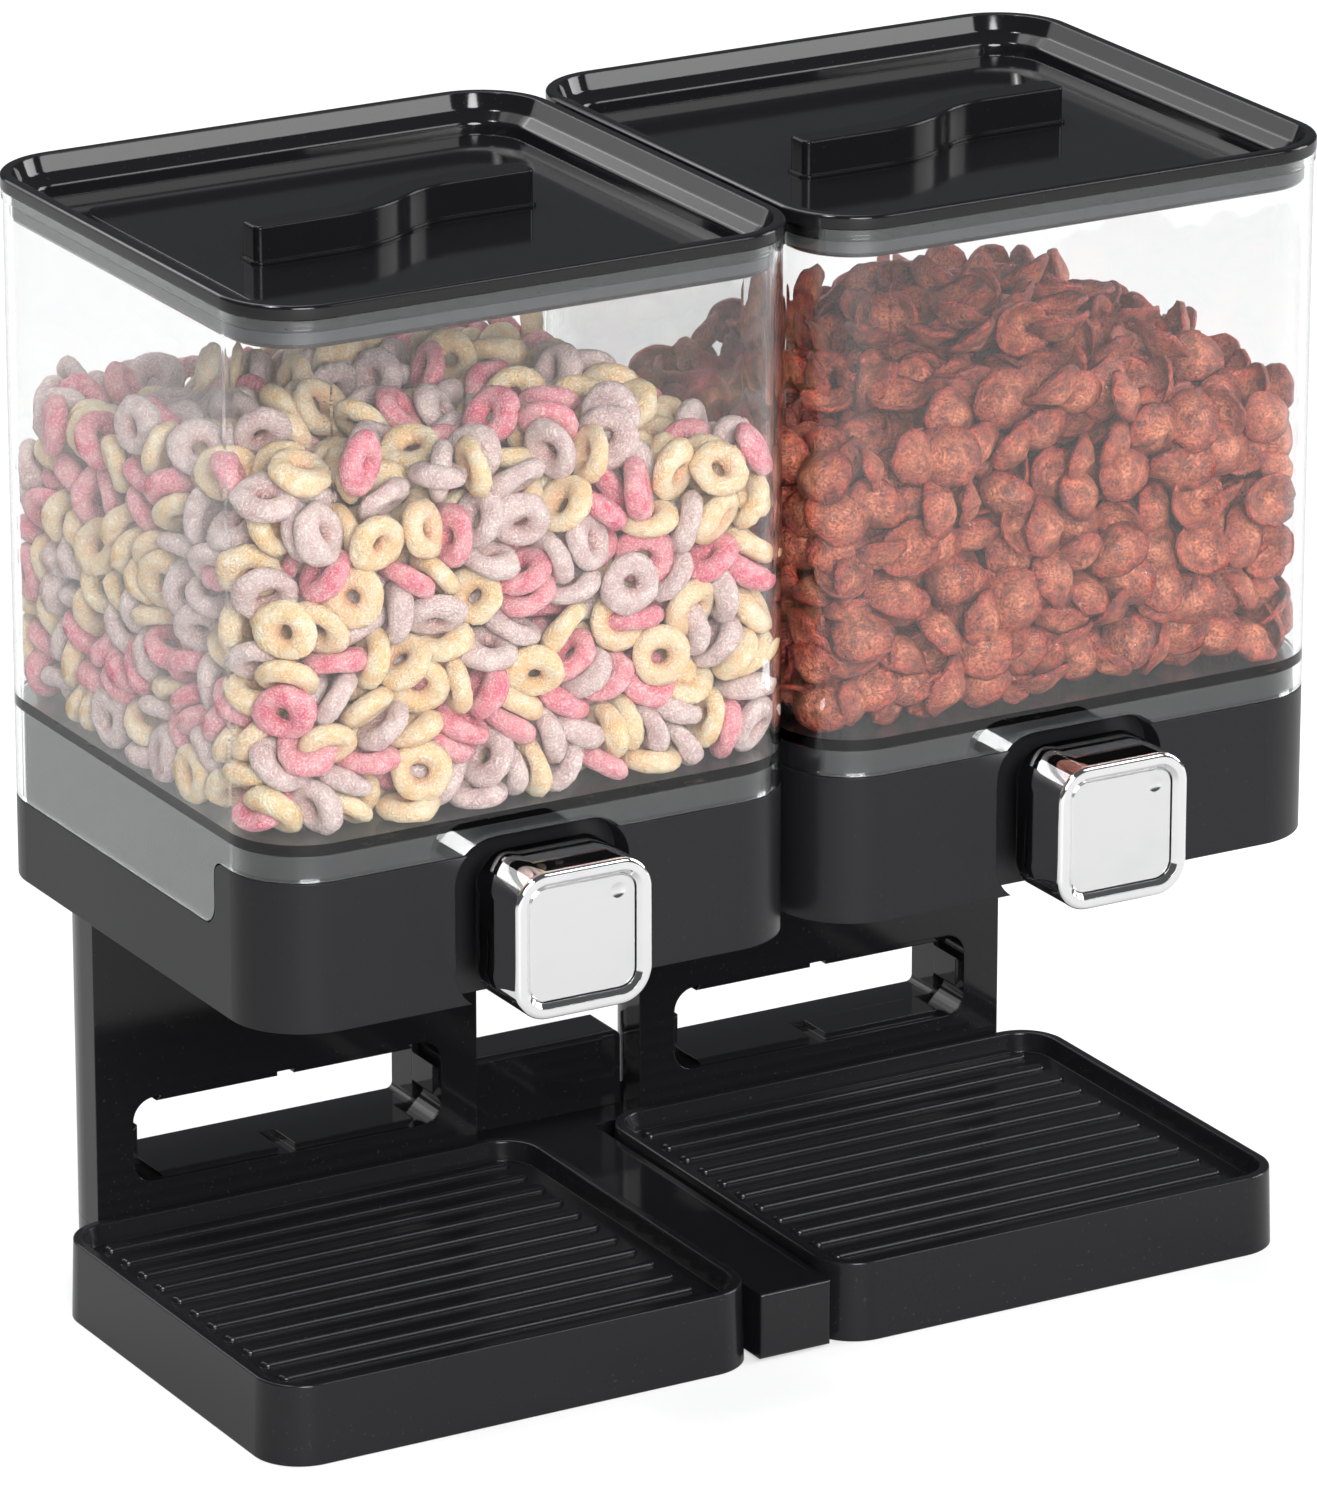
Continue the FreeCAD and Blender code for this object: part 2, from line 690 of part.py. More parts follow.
# ---- Knob ---------------------------------------------------------------------------------------------
def make_knob():
    body = front_slab(knob_size, knob_size, knob_corner, knob_front_y, knob_back_y, 0, 0)
    front_edges = [e for e in body.Edges if abs(e.BoundBox.YMin - knob_front_y) < 0.01
                   and e.BoundBox.YLength < 0.01]
    body = body.makeFillet(knob_edge_round, front_edges)
    face_size = knob_size - 2 * knob_face_margin
    seat_y = knob_front_y + knob_face_inset + knob_face_thickness
    body = body.cut(front_slab(face_size, face_size, knob_corner - knob_face_margin,
                               knob_front_y - 1, seat_y, 0, 0))
    half = face_size / 2 + 0.01
    mouth = edges_at(body, lambda p: p.y < knob_front_y + 0.01 and max(abs(p.x), abs(p.z)) < half)
    body = body.makeChamfer(knob_rim_bevel, mouth)
    core = front_slab(knob_size - 2 * knob_wall, knob_size - 2 * knob_wall, knob_corner - knob_wall,
                      seat_y + knob_wall, knob_back_y + 1, 0, 0)
    body = body.cut(core)
    neck_end = pocket_floor_y - bush_flange_thickness - 0.5
    body = fuse([body, rod(knob_boss_radius, seat_y + knob_wall - 0.5, neck_end)])
    side = shaft_square / 2 + square_clearance
    body = body.cut(box(-side, side, knob_back_y - knob_socket_depth, neck_end + 1, -side, side))
    body = body.cut(rod(shaft_radius + shaft_hole_gap, knob_back_y - 0.5, neck_end + 1))
    body.translate(V(0, 0, axis_z))
    return body


def make_knob_face():
    size = knob_size - 2 * (knob_face_margin + knob_face_clearance)
    front = knob_front_y + knob_face_inset
    plate = front_slab(size, size, knob_corner - knob_face_margin - knob_face_clearance, front,
                       front + knob_face_thickness, 0, 0)
    rim = [e for e in plate.Edges if abs(e.BoundBox.YMin - front) < 0.01 and e.BoundBox.YLength < 0.01]
    plate = plate.makeChamfer(knob_face_thickness * 0.3, rim)
    ball = (knob_dimple_radius ** 2 + knob_dimple_depth ** 2) / (2 * knob_dimple_depth)
    dimple = Part.makeSphere(ball, V(knob_dimple_x, front - ball + knob_dimple_depth, knob_dimple_z))
    plate = plate.cut(dimple)
    plate.translate(V(0, 0, axis_z))
    return plate


# ---- Stand ----------------------------------------------------------------------------------------------
def column_outline(low, high, half, inset=0.0):
    """Flat in front, round at the two back corners, centred on x = 0."""
    back_y = column_back_y - inset
    whole = box(-half + inset, half - inset, column_front_y + inset / 2, back_y, low, high)
    back = [e for e in whole.Edges if e.BoundBox.ZLength > 1 and e.BoundBox.YMin > back_y - 0.01]
    return whole.makeFillet(column_back_corner - inset / 2, back)


def slot_outline(inset, radius, y0, y1):
    return front_slab(slot_width - 2 * inset, slot_height - 2 * inset, radius, y0, y1,
                      0, slot_centre_height)


def slot_notch(y0, y1):
    half = slot_height / 2
    return box(-slot_notch_width / 2, slot_notch_width / 2, y0, y1,
               slot_centre_height - half, slot_centre_height + half)


def slot_with_lip(y0, y1):
    """The slot inside its lip, opened to the full outline at the corners and in the middle."""
    full = slot_outline(0.0, slot_corner, y0, y1)
    reach = slot_lip_corner_gap
    openings = [slot_outline(slot_lip, sharp_corner, y0, y1), slot_notch(y0, y1)]
    for sx in (-1, 1):
        for sz in (-1, 1):
            square = box(-reach, reach, y0, y1, -reach, reach)
            square.rotate(V(0, 0, 0), V(0, 1, 0), 45)
            square.translate(V(sx * slot_width / 2, 0, slot_centre_height + sz * slot_height / 2))
            openings.append(full.common(square))
    return fuse(openings)


def column_screw_places():
    return [(s * column_screw_spread, column_screw_height) for s in (-1, 1)]


def make_column_front():
    body = column_outline(base_height, casing_bottom, column_width / 2)
    body = body.cut(box(-column_width, column_width, column_split_y, column_back_y + 1, 0,
                        casing_bottom + 1))
    body = body.cut(slot_outline(0.0, slot_corner, column_front_y - 1, column_front_y + slot_lip_setback))
    body = body.cut(slot_with_lip(column_front_y - 1, column_split_y + 1))
    for x, y in stand_screw_places():
        room_top = casing_bottom - stand_screw_flesh
        reach = stand_screw_head_radius + driver_gap
        body = body.cut(post(stand_screw_radius + screw_fit, room_top - 1, casing_bottom + 1, x, y))
        body = body.cut(box(x - reach, x + reach, y - reach, column_split_y + 1,
                            room_top - driver_room, room_top))
    for x, y in base_screw_places():
        body = body.cut(post(screw_radius + screw_fit, base_height - 1, base_height + screw_grip, x, y))
    for x, z in column_screw_places():
        body = body.cut(rod(screw_radius + screw_fit, column_split_y - screw_grip / 2,
                            column_split_y + 1, x, z))
    return body


def make_column_back():
    body = column_outline(base_height, casing_bottom, column_width / 2)
    body = body.cut(box(-column_width, column_width, column_front_y - 1, column_split_y, 0,
                        casing_bottom + 1))
    body = body.cut(slot_outline(slot_lip, slot_back_corner, column_split_y - 1, column_back_y + 1))
    body = body.cut(slot_outline(0.0, slot_corner, column_back_y - slot_lip_setback, column_back_y + 1))
    sink = column_back_y - screw_head_height - 0.3
    for x, z in column_screw_places():
        body = body.cut(rod(screw_head_radius + 0.4, sink, column_back_y + 1, x, z))
        body = body.cut(rod(screw_radius + screw_fit, column_split_y - 1, sink + 1, x, z))
    return body


def make_column_screws():
    """The two screws that hold a column's back half to its front half."""
    sink = column_back_y - screw_head_height - 0.3
    length = sink - column_split_y + screw_grip / 2 - 0.5
    screws = []
    for x, z in column_screw_places():
        one = screw(screw_radius, screw_head_radius, screw_head_height, length)
        one.rotate(V(0, 0, 0), V(1, 0, 0), 90)
        one.translate(V(x, sink, z))
        screws.append(one)
    return Part.makeCompound(screws)


def make_stand_screws():
    """The two screws that rise from a column through the plate into its casing."""
    seat = casing_bottom - stand_screw_flesh
    length = plate_top + stand_screw_grip - 1 - seat
    screws = []
    for x, y in stand_screw_places():
        one = screw(stand_screw_radius, stand_screw_head_radius, stand_screw_head_height, length)
        one.translate(V(x, y, seat))
        screws.append(one)
    return Part.makeCompound(screws)


def bridge_half():
    return column_x - column_width / 2 - bridge_gap


def make_bridge():
    low, high = base_height, base_height + bridge_rise
    front = column_front_y + bridge_setback
    body = box(-bridge_half(), bridge_half(), front, column_back_y, low, high)
    top_edges = edges_at(body, level(high))
    return body.makeFillet(bridge_round, top_edges)


# ---- Base, feet and the screws under it -----------------------------------------------------------------
def base_screw_places():
    y = column_split_y - screw_head_radius - 2.5
    return [(s * stand_screw_spread * 0.5, y) for s in (-1, 1)]


def all_base_screws():
    return [(side * column_x + x, y) for side in (-1, 1) for x, y in base_screw_places()]


def foot_places():
    mid = (column_front_y + base_inset + column_back_y - base_inset) / 2 + 1
    back = [(side * column_x + s * foot_spread, mid) for side in (-1, 1) for s in (-1, 1)]
    return back + [(0.0, -block_front + foot_front_inset)]


def make_base():
    outer = column_x + column_width / 2
    top = column_outline(base_plinth, base_height, outer)
    plinth = column_outline(base_lift, base_plinth, outer, base_inset)
    block = box(-block_width / 2, block_width / 2, -block_front, column_front_y + block_root,
                base_lift, base_height)
    block = block.makeFillet(block_round, edges_at(block, lambda p: p.y < -block_front + 0.01))
    body = fuse([top, plinth, block])
    for x, y in foot_places():
        body = body.cut(post(foot_radius + 0.1, 0, foot_thickness, x, y))
    for x, y in all_base_screws():
        seat = base_lift + screw_head_height + 0.6
        body = body.cut(post(screw_head_radius + 0.4, 0, seat, x, y))
        body = body.cut(post(screw_radius + screw_fit, 0, base_height + 1, x, y))
    return body


def make_feet():
    return Part.makeCompound([post(foot_radius, 0, foot_thickness, x, y) for x, y in foot_places()])


def make_base_screws():
    seat = base_lift + screw_head_height + 0.6
    screws = []
    for x, y in all_base_screws():
        one = screw(screw_radius, screw_head_radius, screw_head_height,
                    base_height - seat + screw_grip - 1)
        one.translate(V(x, y, seat))
        screws.append(one)
    return Part.makeCompound(screws)


# ---- Trays -----------------------------------------------------------------------------------------
def make_tray():
    """A shallow pan turned over: rim, sunken ribbed top and stiffeners underneath."""
    outer = tapered(tray_width, tray_depth, 0, tray_height, tray_corner, tray_draft)
    rim_w = tray_width - 2 * (tray_draft + tray_rim)
    rim_d = tray_depth - 2 * (tray_draft + tray_rim)
    rim_r = tray_corner - tray_draft - tray_rim
    well = tapered(rim_w, rim_d, tray_height, tray_floor, rim_r, tray_well_draft)
    body = outer.cut(well)
    body = body.makeFillet(tray_rim_round, edges_at(body, level(tray_height)))
    inset = tray_rim + tray_draft
    under = slab(tray_width - 2 * inset, tray_depth - 2 * inset, -1, tray_floor - tray_sheet,
                 tray_corner - inset)
    body = body.cut(under)
    return fuse([body] + tray_ribs() + tray_stiffeners(inset))


def tray_ribs():
    half = tray_width / 2 - tray_draft - tray_rim - rib_end_gap
    first = -rib_pitch * (rib_count - 1) / 2
    ribs = []
    for i in range(rib_count):
        rib = slab(2 * half, rib_width, tray_floor - 0.5, tray_floor + rib_height, rib_width / 2 - 0.01,
                   0, first + i * rib_pitch)
        ribs.append(rib.makeFillet(rib_round, edges_at(rib, level(tray_floor + rib_height))))
    return ribs


def tray_stiffeners(inset):
    low, high = stiffener_lift, tray_floor - tray_sheet + 0.5
    half_w, half_d = tray_width / 2 - inset + 0.5, tray_depth / 2 - inset + 0.5
    t = stiffener_thickness / 2
    webs = []
    for i in range(stiffener_x_count):
        x = tray_width * ((i + 1) / (stiffener_x_count + 1) - 0.5)
        webs.append(box(x - t, x + t, -half_d, half_d, low, high))
    for i in range(stiffener_y_count):
        y = tray_depth * ((i + 1) / (stiffener_y_count + 1) - 0.5)
        webs.append(box(-half_w, half_w, y - t, y + t, low, high))
    return webs


# ---- Set out and write -----------------------------------------------------------------------------
def bin_pieces(side):
    """Pieces drawn about a bin's plan centre."""
    return {
        "lid": make_lid(),
        "lid_handle": make_handle(),
        "lid_seal": make_seal(),
        "hopper": make_hopper(),
        "casing": make_casing(side),
        "casing_floor": make_casing_floor(side),
        "casing_screws": make_casing_screws(),
        "wheel_chamber": make_chamber(),
        "paddle_wheel": make_wheel(),
        "drive_shaft": make_shaft(),
        "shaft_clip": make_clip(),
        "front_bush": make_front_bush(),
        "rear_bush": make_rear_bush(),
        "knob": make_knob(),
        "knob_face": make_knob_face(),
    }


def column_pieces():
    """Pieces drawn about a column's centre line."""
    return {
        "column_front": make_column_front(),
        "column_back": make_column_back(),
        "column_screws": make_column_screws(),
        "stand_screws": make_stand_screws(),
    }


def stand_pieces():
    return {
        "bridge": make_bridge(),
        "base": make_base(),
        "rubber_feet": make_feet(),
        "base_screws": make_base_screws(),
    }


def write(name, shape, x, y):
    placed = shape.copy()
    placed.translate(V(x, y, 0))
    for solid in placed.Solids:
        if not solid.isValid() or solid.Volume <= 0:
            print("bad solid in", name)
    placed.exportStep("parts/" + name + ".step")
    return placed


def main():
    os.makedirs("parts", exist_ok=True)
    whole = FreeCAD.BoundBox()
    placed = []
    for word, side in SIDES.items():
        for name, shape in bin_pieces(side).items():
            placed.append(write(name + "_" + word, shape, side * bin_x, y_shift))
        for name, shape in column_pieces().items():
            placed.append(write(name + "_" + word, shape, side * column_x, y_shift))
        placed.append(write("tray_" + word, make_tray(), side * tray_x, tray_y + y_shift))
    for name, shape in stand_pieces().items():
        placed.append(write(name, shape, 0.0, y_shift))
    for shape in placed:
        whole.add(shape.BoundBox)
    print("pieces:", len(placed), "solids:", sum(len(s.Solids) for s in placed))
    print("size: %.1f x %.1f x %.1f" % (whole.XLength, whole.YLength, whole.ZLength))
    print("x %.2f..%.2f  y %.2f..%.2f  z %.2f..%.2f" % (
        whole.XMin, whole.XMax, whole.YMin, whole.YMax, whole.ZMin, whole.ZMax))


main()
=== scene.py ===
# %% [markdown]
# # A twin gravity bin for dry food
# Two clear square hoppers stand on black casings.  A plated knob on each casing turns a paddle
# wheel that lets a portion fall into a bowl on the tray below.  The solids come from the CAD
# model.  This lesson gives them their finishes, draws the lids again with softer rounds, fills
# the hoppers with breakfast food, and sets up a table, a camera and the lights.

# %% Load the packed model
import bpy
import math
import numpy as np
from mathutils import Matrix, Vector


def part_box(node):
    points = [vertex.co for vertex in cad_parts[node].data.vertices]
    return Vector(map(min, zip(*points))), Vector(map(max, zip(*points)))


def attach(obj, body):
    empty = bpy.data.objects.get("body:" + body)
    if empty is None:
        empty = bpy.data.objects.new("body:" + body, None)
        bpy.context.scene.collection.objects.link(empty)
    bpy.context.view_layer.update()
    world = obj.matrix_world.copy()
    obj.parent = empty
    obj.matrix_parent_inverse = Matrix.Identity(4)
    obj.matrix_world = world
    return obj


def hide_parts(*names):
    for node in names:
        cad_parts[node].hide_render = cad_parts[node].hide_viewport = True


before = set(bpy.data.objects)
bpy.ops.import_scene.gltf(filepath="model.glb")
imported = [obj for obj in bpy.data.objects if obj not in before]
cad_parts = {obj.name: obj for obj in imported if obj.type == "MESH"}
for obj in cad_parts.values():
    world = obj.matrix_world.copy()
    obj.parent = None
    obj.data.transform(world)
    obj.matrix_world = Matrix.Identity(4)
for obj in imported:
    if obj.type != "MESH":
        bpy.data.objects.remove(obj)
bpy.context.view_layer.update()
MM = 0.001
SIDES = ("left", "right")

# %% [markdown]
# ## Camera
# The bins are looked at from the front and a little from the left, and from somewhat above.  A
# wide lens close by would show the same sides, but it would spread the trays and shrink the far
# edges of the lids.  A long lens from two and a half metres keeps the sides nearly parallel.  It
# aims at a point between the bins, so it needs no shift.

# %% Place the camera
azimuth = math.radians(29.81)
elevation = math.radians(19.32)
distance = 2.582
aim = Vector((-0.0002, 0.011, 0.1527))
sight = Vector((math.sin(azimuth) * math.cos(elevation), math.cos(azimuth) * math.cos(elevation),
                -math.sin(elevation)))
camera = bpy.data.objects.new("camera", bpy.data.cameras.new("camera"))
bpy.context.scene.collection.objects.link(camera)
camera.location = aim - sight * distance
camera.rotation_euler = sight.to_track_quat("-Z", "Y").to_euler()
camera.data.sensor_width = 36.0
camera.data.lens = 225.2
camera.data.clip_end = 50.0
bpy.context.scene.camera = camera
print("camera at", [round(v, 3) for v in camera.location])

# %% [markdown]
# ## Shader sums
# A finish is a net of nodes, which could be placed and wired one by one.  It is easier to read as
# arithmetic.  `Wire` wraps the output of a node, so that `0.3 + 0.1 * grain` adds the Math nodes
# by itself, and `1 - grain` works as well.

# %% A wire that can stand in a sum
class Wire:
    """The output socket of a shader node, for use in sums."""

    def __init__(self, owner, socket):
        self.owner = owner
        self.socket = socket

    def _math(self, how, a, b):
        return self.owner.add("Math", {"operation": how}, {0: a, 1: b})

    def __add__(self, other):
        return self._math("ADD", self, other)

    __radd__ = __add__

    def __sub__(self, other):
        return self._math("SUBTRACT", self, other)

    def __rsub__(self, other):
        return self._math("SUBTRACT", other, self)

    def __mul__(self, other):
        return self._math("MULTIPLY", self, other)

    __rmul__ = __mul__

    def over(self, limit):
        """1 where the value is above the limit."""
        return self._math("GREATER_THAN", self, limit)


signs = [sign for sign in ("add", "sub", "mul") if hasattr(Wire, f"__{sign}__")]
print("sums a wire can stand in:", signs)

# %% [markdown]
# ## One method for every other node
# Noise, bumps and shaders are no sums.  `Nodes.add` makes any of them from its type, its settings
# and the values or wires of its sockets, so there is one place where nodes are made.  `Finish` is
# such a net for one material, with short names for what nearly every finish here needs.

# %% Nodes and finishes
class Nodes:
    """The node tree of a material or of the world."""

    def __init__(self, tree):
        self.tree = tree
        tree.nodes.clear()

    def add(self, kind, settings, sockets, out=0):
        """A node of one kind: settings first, then values or wires for its sockets."""
        node = self.tree.nodes.new("ShaderNode" + kind)
        for key, value in settings.items():
            setattr(node, key, value)
        for key, value in sockets.items():
            if isinstance(value, Wire):
                self.tree.links.new(value.socket, node.inputs[key])
            else:
                node.inputs[key].default_value = value
        return Wire(self, node.outputs[out]) if node.outputs else None

    def ray(self, *kinds):
        """1 for rays of these kinds, such as "Camera"."""
        first, *others = [self.add("LightPath", {}, {}, f"Is {kind} Ray") for kind in kinds]
        return sum(others, first)


class Finish(Nodes):
    """One material and its nodes."""

    def __init__(self, name):
        self.material = bpy.data.materials.new(name)
        self.material.use_nodes = True
        super().__init__(self.material.node_tree)
        self.place = self.add("TexCoord", {}, {}, "Object")

    def noise(self, scale, detail=2.0, stretch=(1.0, 1.0, 1.0), roughness=0.5):
        """Noise between 0 and 1, with scale in waves per metre."""
        where = self.add("Mapping", {}, {"Vector": self.place, "Scale": stretch})
        return self.add("TexNoise", {}, {"Vector": where, "Scale": scale, "Detail": detail,
                                         "Roughness": roughness}, "Fac")

    def blend(self, share, first, second):
        """A colour between two, through a Mix node."""
        return self.add("Mix", {"data_type": "RGBA"}, {0: share, 6: first, 7: second}, 2)

    def ramp(self, value, low, high):
        """0 below low, 1 above high, straight between."""
        return self.add("MapRange", {"clamp": True},
                        {"Value": value, "From Min": low, "From Max": high})

    def bump(self, height, depth, strength=1.0, below=None):
        """A normal from a height between 0 and 1, with depth in metres."""
        sockets = {"Height": height, "Distance": depth, "Strength": strength}
        if below is not None:
            sockets["Normal"] = below
        return self.add("Bump", {}, sockets, "Normal")

    def soft_edges(self, radius):
        """A normal that rounds every edge by a radius in metres."""
        return self.add("Bevel", {"samples": 4}, {"Radius": radius}, "Normal")

    def surface(self, **sockets):
        """The Principled shader, with socket names written with _ for a space."""
        named = {key.replace("_", " "): value for key, value in sockets.items()}
        return self.add("BsdfPrincipled", {}, named)

    def done(self, **outputs):
        """Wire shaders to the output's Surface or Volume, and give back the material."""
        self.add("OutputMaterial", {}, outputs)
        return self.material


print("short names of a finish:", [word for word in vars(Finish) if not word.startswith("_")])

# %% [markdown]
# ## Black plastics
# The lids are polished, the casings fine satin, and the columns and trays something between.  Each
# could have a material of its own, but all are moulded from one black.  So one function makes
# them all, and only the polish, the grain and the dust differ.  Black plastic always shows some
# dust and hairlines, and without them it would look like a hole.

# %% Black plastic
DUST_GREY = (0.16, 0.16, 0.16, 1)


def black_plastic(name, tone, polish, grain_size, grain_depth, mirror=0.5, matt_top=0.0, dust=0.2):
    """A black with a grain of a size and depth in metres; matt_top dulls what faces up."""
    finish = Finish(name)
    grain = finish.noise(1.0 / grain_size, 3.0)
    cloud = finish.noise(18.0, 4.0)
    hairline = finish.ramp(finish.noise(70.0, 2.0, (1.0, 14.0, 3.0)), 0.62, 0.66)
    speck = finish.noise(900.0, 1.0).over(0.735)
    facing = finish.add("TexCoord", {}, {}, "Normal")
    up = finish.ramp(finish.add("SeparateXYZ", {}, {0: facing}, 2), 0.85, 0.98)
    shade = finish.blend(dust * 0.25 * speck, (tone, tone, tone * 1.12, 1), DUST_GREY)
    shine = (polish + 0.4 * polish * cloud + 0.05 * dust * hairline + 0.12 * dust * speck
             + matt_top * up)
    normal = finish.bump(grain, grain_depth, 1.0, finish.soft_edges(0.0005))
    return finish.done(Surface=finish.surface(Base_Color=shade, Roughness=shine, Normal=normal,
                                              Specular_IOR_Level=mirror))


lid_gloss = black_plastic("gloss_black_lid", tone=0.006, polish=0.07, grain_size=0.004,
                          grain_depth=0.000003, mirror=0.38)
handle_gloss = black_plastic("gloss_black_handle", tone=0.006, polish=0.12, grain_size=0.0007,
                             grain_depth=0.000006, mirror=0.15, matt_top=0.05)
casing_satin = black_plastic("satin_black_casing", tone=0.010, polish=0.27, grain_size=0.0006,
                             grain_depth=0.000004, mirror=0.26)
column_gloss = black_plastic("black_column", tone=0.008, polish=0.08, grain_size=0.0015,
                             grain_depth=0.000003, mirror=0.4, dust=0.3)
tray_satin = black_plastic("black_tray", tone=0.009, polish=0.16, grain_size=0.0008,
                           grain_depth=0.000005, mirror=0.3, dust=0.4)
inner_black = black_plastic("black_inside", tone=0.02, polish=0.4, grain_size=0.0008,
                            grain_depth=0.00001)
blacks = (lid_gloss, handle_gloss, casing_satin, column_gloss, tray_satin, inner_black)
print("black plastics:", [material.name for material in blacks])

# %% [markdown]
# ## Clear walls
# The hoppers are clear styrene: solid walls that bend light and swallow a little of it on the
# way, so that their edges and corners show as dark and bright lines.  A thin see-through shader
# would be quicker, but it has no such edges.  Real refraction in turn stops the lamps' rays on
# their way to the food.  So for shadows and for soft bounced light the wall is a plain
# see-through shader, and for all other rays it is true clear plastic.

# %% Clear plastic
CLEAR_TINT = (0.99, 0.993, 0.993, 1)
SWALLOWED = (0.50, 0.53, 0.54, 1)
MURK = 55.0                     # how much is swallowed, per metre

clear = Finish("clear_hopper")
waves = clear.bump(clear.noise(22.0, 1.0), 0.00003)
smear = clear.ramp(clear.noise(30.0, 4.0), 0.45, 0.8)
wall_body = clear.surface(Base_Color=CLEAR_TINT, Roughness=0.02 * smear, IOR=1.5, Normal=waves,
                          Specular_IOR_Level=0.36, Transmission_Weight=1.0)
see_through = clear.add("BsdfTransparent", {}, {"Color": CLEAR_TINT})
walls = clear.add("MixShader", {}, {0: clear.ray("Shadow", "Diffuse"), 1: wall_body,
                                    2: see_through})
inside = clear.add("VolumeAbsorption", {}, {"Color": SWALLOWED, "Density": MURK})
hopper_clear = clear.done(Surface=walls, Volume=inside)
print("nodes in the clear plastic:", len(clear.tree.nodes))

# %% [markdown]
# ## Plated knobs
# The knobs are plastic plated with bright chrome.  A perfect mirror would look computed.  A plated
# moulding is a slightly wavy one, with soft edges and a few smudges where fingers turn it.  The
# face plate is brushed a little duller than the body, and shows the room as one pale field.

# %% Plated plastic
def plated(name, tone, polish, waviness):
    """Chrome with waves of a depth in metres, and duller smudges."""
    finish = Finish(name)
    smudge = finish.ramp(finish.noise(45.0, 4.0), 0.5, 0.75)
    normal = finish.bump(finish.noise(60.0, 1.0), waviness, 1.0, finish.soft_edges(0.0003))
    shade = finish.blend(smudge, (tone, tone, tone, 1), (tone * 0.93, tone * 0.93, tone * 0.95, 1))
    return finish.done(Surface=finish.surface(Base_Color=shade, Metallic=1.0, Normal=normal,
                                              Roughness=polish + 0.05 * smudge))


knob_chrome = plated("plated_knob", tone=0.86, polish=0.035, waviness=0.00002)
face_chrome = plated("plated_face", tone=0.8, polish=0.12, waviness=0.00001)
print("plated:", knob_chrome.name, face_chrome.name)

# %% [markdown]
# ## Steel
# Shafts, clips and screws are plain steel.  They are drawn or turned, so fine lines run along them.
# Lines cut into the mesh would be far too small, so a noise stretched along one axis makes them,
# in the colour, the polish and the bump at once.

# %% Drawn steel
def drawn_steel(name, tone):
    """Steel with fine lines along the y axis."""
    finish = Finish(name)
    line = finish.noise(900.0, 2.0, (1.0, 0.04, 1.0))
    shade = finish.blend(line, (tone * 0.8, tone * 0.8, tone * 0.82, 1), (tone, tone, tone, 1))
    return finish.done(Surface=finish.surface(Base_Color=shade, Metallic=1.0,
                                              Roughness=0.22 + 0.2 * line,
                                              Normal=finish.bump(line, 0.00001)))


shaft_steel = drawn_steel("shaft_steel", tone=0.62)
screw_steel = drawn_steel("screw_steel", tone=0.5)
print("steels:", shaft_steel.name, screw_steel.name)

# %% [markdown]
# ## Soft and bearing plastics
# The seals and the paddles are silicone, the feet black rubber and the bushes white acetal.  All
# of them scatter light softly.  A plain rough colour would do from afar, but close by they are a
# little cloudy and have a fine skin, so both are added.

# %% Soft plastics
def soft_plastic(name, colour, polish, mottle):
    """A rough plastic whose colour darkens in clouds by the share mottle."""
    finish = Finish(name)
    cloud = finish.noise(60.0, 4.0)
    shade = finish.blend(cloud, (*(v * (1 - mottle) for v in colour), 1), (*colour, 1))
    skin = finish.bump(finish.noise(1400.0, 2.0), 0.00002)
    return finish.done(Surface=finish.surface(Base_Color=shade, Roughness=polish + 0.15 * cloud,
                                              Normal=skin))


seal_silicone = soft_plastic("seal_silicone", (0.03, 0.031, 0.033), polish=0.4, mottle=0.2)
paddle_silicone = soft_plastic("paddle_silicone", (0.62, 0.6, 0.56), polish=0.5, mottle=0.15)
bush_acetal = soft_plastic("bush_acetal", (0.75, 0.75, 0.72), polish=0.3, mottle=0.08)
foot_rubber = soft_plastic("foot_rubber", (0.03, 0.03, 0.03), polish=0.7, mottle=0.3)
softs = (seal_silicone, paddle_silicone, bush_acetal, foot_rubber)
print("soft plastics:", [material.name for material in softs])

# %% [markdown]
# ## Which finish goes where
# The solids' own shapes are right for all pieces but the lids, so they only change their finish.
# Both bins use the same finishes, so the table below leaves the side out of the nodes' names.

# %% Give every CAD node its finish
finish_of = {
    "lid": lid_gloss, "lid_handle": handle_gloss, "lid_seal": seal_silicone,
    "hopper": hopper_clear, "casing": casing_satin, "casing_floor": inner_black,
    "casing_screws": screw_steel, "wheel_chamber": inner_black, "paddle_wheel": paddle_silicone,
    "drive_shaft": shaft_steel, "shaft_clip": screw_steel, "front_bush": bush_acetal,
    "rear_bush": bush_acetal, "knob": knob_chrome, "knob_face": face_chrome,
    "column_front": column_gloss, "column_back": column_gloss, "column_screws": screw_steel,
    "stand_screws": screw_steel, "tray": tray_satin, "bridge": column_gloss,
    "base": column_gloss, "rubber_feet": foot_rubber, "base_screws": screw_steel,
}
for name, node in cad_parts.items():
    kind = name.removesuffix("_left").removesuffix("_right")
    node.data.materials.clear()
    node.data.materials.append(finish_of[kind])
print("finishes given to", len(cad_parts), "nodes of", len(finish_of), "kinds")

# %% [markdown]
# ## Profiles with true rounds
# Black gloss shows every break in a surface, and the lids are mostly edges.  So they are drawn
# again, on the same form and at the same place as their solids.  A bevel modifier would round
# all edges alike.  Here each lid is one profile of insets and heights, and each corner of it has
# its own radius, so `softened` swaps the corners of a profile for arcs.

# %% Round the corners of a profile
LEAST_ROUND = 0.02              # mm, below which a corner stays sharp
MOST_OF_A_RUN = 0.49            # the share of a run that one corner may take


